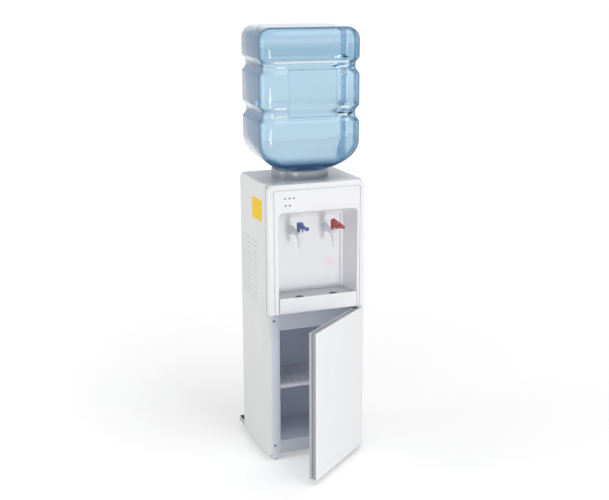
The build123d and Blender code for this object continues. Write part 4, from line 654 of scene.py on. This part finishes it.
# ---------------------------------------------------------------------------
# The two levers: dyed polypropylene, blue for cold and red for hot. Each has a
# roof and two cheeks round the valve stem, and a finger arm in front.
# ---------------------------------------------------------------------------
arm_steps = {
    "cold": ((0.01, 14.0, 749.4, 759.6), (2.0, 9.6, 748.2, 757.0), (14.0, 8.4, 748.4, 756.2),
             (34.0, 7.4, 748.8, 755.8), (42.0, 7.6, 749.0, 755.8), (46.0, 9.6, 748.0, 757.2),
             (49.5, 10.8, 747.4, 757.8), (52.5, 10.6, 747.8, 757.8), (55.2, 8.6, 749.0, 757.0),
             (56.0, 6.4, 750.4, 756.0)),
    "hot": ((0.01, 14.0, 749.4, 759.6), (2.0, 13.2, 738.5, 759.2), (16.0, 13.0, 740.0, 758.5),
            (40.0, 11.5, 744.0, 757.5), (52.0, 9.5, 746.5, 756.8), (60.0, 7.4, 748.8, 756.0),
            (63.0, 8.2, 748.6, 756.4), (68.0, 8.2, 749.0, 756.6), (70.0, 6.0, 750.4, 755.6)),
}
lever_plastic = {"cold": moulded("blue_polypropylene", "23509C", "1B4288", 0.24),
                 "hot": moulded("red_polypropylene", "B8141F", "A30F19", 0.24)}
block_half, block_front, block_rear, block_low, block_high = 7.5, -63.5, -46.5, 733.5, 760.0
slot_half, slot_top = 3.6, 749.0
catch_recess = {"half": 3.45, "front": -59.1, "rear": -47.2, "deep": 0.003}
for kind, tap_x in tap_xs.items():
    lever = slab(f"{kind}_lever_arm", (tap_x - block_half, block_front, slot_top),
                 (tap_x + block_half, block_rear, block_high))
    for side in (-1, 1):
        bpy.ops.mesh.select_all(action="SELECT")
        bpy.ops.mesh.bisect(plane_co=((tap_x + side * slot_half) / 1000, 0, 0), plane_no=(1, 0, 0))
    pick(lever, "FACE", lambda face: face.normal.z < -0.9
         and abs(face.calc_center_median().x * 1000 - tap_x) > slot_half)
    cheek_drop = (block_low - slot_top) / 1000
    bpy.ops.mesh.extrude_region_move(TRANSFORM_OT_translate={"value": (0, 0, cheek_drop)})
    pick(lever, "FACE", lambda face: abs(face.normal.x) > 0.9
         and abs(face.calc_center_median().x * 1000 - tap_x) > slot_half + 1)
    bpy.ops.mesh.inset(thickness=0.0026)
    bpy.ops.mesh.inset(thickness=0.0005, depth=-0.0009)
    if kind == "hot":
        for side in (-1, 1):
            bpy.ops.mesh.select_all(action="SELECT")
            bpy.ops.mesh.bisect(plane_co=((tap_x + side * catch_recess["half"]) / 1000, 0, 0),
                                plane_no=(1, 0, 0))
        for edge_y in (catch_recess["front"], catch_recess["rear"]):
            pick(lever, "FACE", lambda face: face.normal.z > 0.9)
            bpy.ops.mesh.bisect(plane_co=(0, edge_y / 1000, 0), plane_no=(0, 1, 0))
        pick(lever, "FACE", lambda face: face.normal.z > 0.9
             and abs(face.calc_center_median().x * 1000 - tap_x) < catch_recess["half"]
             and catch_recess["front"] < face.calc_center_median().y * 1000 < catch_recess["rear"])
        bpy.ops.mesh.extrude_region_move(TRANSFORM_OT_translate={"value": (0, 0, -catch_recess["deep"])})
    pick(lever, "FACE", lambda face: face.normal.y < -0.9
         and face.calc_center_median().z * 1000 > slot_top
         and face.calc_center_median().y * 1000 < block_front + 0.1)
    for arm_reach, arm_width, arm_low, arm_high in arm_steps[kind]:
        held = [vert for vert in bmesh.from_edit_mesh(lever.data).verts if vert.select]
        xs = [vert.co.x for vert in held]
        zs = [vert.co.z for vert in held]
        ahead = (block_front - arm_reach) / 1000 - held[0].co.y
        rise = (arm_low + arm_high) / 2000 - (min(zs) + max(zs)) / 2
        ratio = (arm_width / 1000 / (max(xs) - min(xs)), 1,
                 (arm_high - arm_low) / 1000 / (max(zs) - min(zs)))
        middle = (tap_x / 1000, 0, (arm_low + arm_high) / 2000)
        bpy.ops.mesh.extrude_region_move(TRANSFORM_OT_translate={"value": (0, ahead, rise)})
        bpy.ops.transform.resize(value=ratio, center_override=middle)
    bpy.ops.object.mode_set(mode="OBJECT")
    worn = lever.modifiers.new("worn_edges", "BEVEL")
    worn.width = 0.0009
    worn.segments = 3
    worn.limit_method = "ANGLE"
    worn.angle_limit = math.radians(28)
    bpy.ops.object.modifier_apply(modifier="worn_edges")
    settle(lever, lever_plastic[kind], f"{kind}_lever",
           (f"{kind}_tap_lever",), smooth=40)
dress(lever_plastic["hot"], "hot_safety_catch")
dress(moulded("natural_nylon", "E4E2D9", "DAD8CF", 0.45), "cold_valve_stem", "hot_valve_stem",
      "baffle_plate", "feed_probe", "drain_pipe", "drain_cap", "hinge_bushes")

# ---------------------------------------------------------------------------
# The drip tray slides into the foot of the bay, and a grey grille drops into it.
# A dark dished disc sits in each of its two round holes under the taps: painted
# shade, standing in for the shadowed well seen through the holes.
# ---------------------------------------------------------------------------
dress(white_abs, "drip_tray")
dress(moulded("grey_grille_abs", "BEC0C6", "B7B9BF", 0.34), "drip_grille")
rest_y = -51.0
# Painted shade: dark discs where the holes show only a shadowed well.
hole_shade_steps = ((11.6, 527.6), (12.4, 528.4), (12.2, 529.2), (11.4, 529.4), (10.6, 528.8), (10.0, 528.1),
               (1.2, 527.9))
hole_shades = [drawn_out("hole_shade_disc", Vector((tap_x, rest_y, 0)), upward, hole_shade_steps, 32)
          for tap_x in tap_xs.values()]
settle(merged(hole_shades), moulded("painted_hole_shade", "3C414B", "353A44", 0.45), "grille")

# ---------------------------------------------------------------------------
# The cupboard: a grey enamelled front frame round a vacuum-formed liner, a
# slotted shelf on two ledges, and the evaporator plate under the roof.
# ---------------------------------------------------------------------------
dress(stoved_enamel("grey_stoved_enamel", "DCE1E9", "D4DAE3", 0.42), "front_frame", "upper_hinge",
      "lower_hinge")
dress(moulded("liner_polystyrene", "DADFEC", "D2D8E6", 0.36), "compartment_liner", "door_liner")
dress(moulded("shelf_polystyrene", "F2F0F6", "ECEAF2", 0.34), "shelf")
dress(moulded("plug_polythene", "767C85", "6E747D", 0.5), "hinge_hole_plugs")

# ---------------------------------------------------------------------------
# The door: a white skin over foam, held in a moulded surround whose grey is partly
# painted shade along the door's edge, with a soft magnetic gasket all round its back.
# ---------------------------------------------------------------------------
dress(white_abs, "door_skin")
# The surround's grey is partly painted shade, darkened for the shaded line along the door's edge.
dress(moulded("surround_abs_and_painted_shade", "9FA5A7", "979DA0", 0.38), "door_surround")
dress(moulded("soft_vinyl", "B9BCBC", "AFB2B2", 0.62, 0.0015, 0.2), "door_gasket")

# ---------------------------------------------------------------------------
# Insulation: white beads of expanded polystyrene, 4 mm across, pressed together
# round the tanks and behind the liner.
# ---------------------------------------------------------------------------
beads, tree, shader, place = finish("expanded_polystyrene")
bead = add(tree, "ShaderNodeTexVoronoi", {"Scale": 1 / 0.004, "feature": "SMOOTH_F1"}, Vector=place)
blend_tones(tree, shader, bead.outputs["Distance"], "F0EFE9", "DCDAD0")
raise_grain(tree, shader, bead.outputs["Distance"], 0.0004, 0.6)
shader.inputs["Roughness"].default_value = 0.85
dress(beads, "cold_tank_insulation", "hot_tank_jacket", "foam_insulation", "door_foam")

# ---------------------------------------------------------------------------
# Bare metal of the machine: drawn stainless tanks, zinc-plated screws, the
# rolled aluminium plate, and copper tube with its brazed drier.
# ---------------------------------------------------------------------------


def bare_metal(name, tone, shade, gloss, along):
    """Drawn or rolled metal: fine marks run along one direction, 2 mm apart across it."""
    made, tree, shader, place = finish(name)
    drawn = add(tree, "ShaderNodeMapping", {"Scale": along}, Vector=place)
    marks = add(tree, "ShaderNodeTexNoise", {"Scale": 1 / 0.002, "Detail": 3.0}, Vector=drawn.outputs[0])
    blend_tones(tree, shader, marks.outputs["Fac"], tone, shade)
    spread_gloss(tree, shader, marks.outputs["Fac"], gloss - 0.08, gloss + 0.08)
    shader.inputs["Metallic"].default_value = 1.0
    return made


dress(bare_metal("drawn_stainless", "C6C7C9", "B4B6B8", 0.30, (1, 1, 0.05)), "cold_tank", "tank_lid",
      "hot_tank", "hot_tank_heater")
dress(bare_metal("zinc_plate", "C2C4C6", "A9ACAF", 0.35, (1, 1, 1)), "screws")
dress(bare_metal("rolled_aluminium", "C9CDD2", "BCC1C7", 0.40, (0.05, 1, 1)), "evaporator_plate")
dress(bare_metal("copper_tube", "C07A4B", "A4623A", 0.35, (1, 1, 0.1)), "cold_coil", "refrigerant_lines",
      "filter_drier")

# ---------------------------------------------------------------------------
# The refrigeration unit on the back: a compressor in black machine paint on
# rubber grommets, under a wire-and-tube condenser dipped in the same paint.
# ---------------------------------------------------------------------------
dress(stoved_enamel("black_machine_paint", "151618", "1E1F22", 0.40), "compressor", "condenser")
dress(moulded("black_rubber", "191919", "232323", 0.80, 0.001, 0.3), "compressor_grommets")

# ---------------------------------------------------------------------------
# Small black mouldings of the back: switch housings and rockers, the knob of the
# thermostat and the gland; the feet are the same. Hoses are milky silicone.
# ---------------------------------------------------------------------------
dress(moulded("black_polypropylene", "1B1C1F", "26272B", 0.50, 0.0012, 0.3), "foot_pads",
      "control_housings", "cold_switch", "hot_switch", "thermostat_knob", "cord_gland")
dress(moulded("milky_silicone", "E9E8E2", "DFDED8", 0.45), "water_hoses")
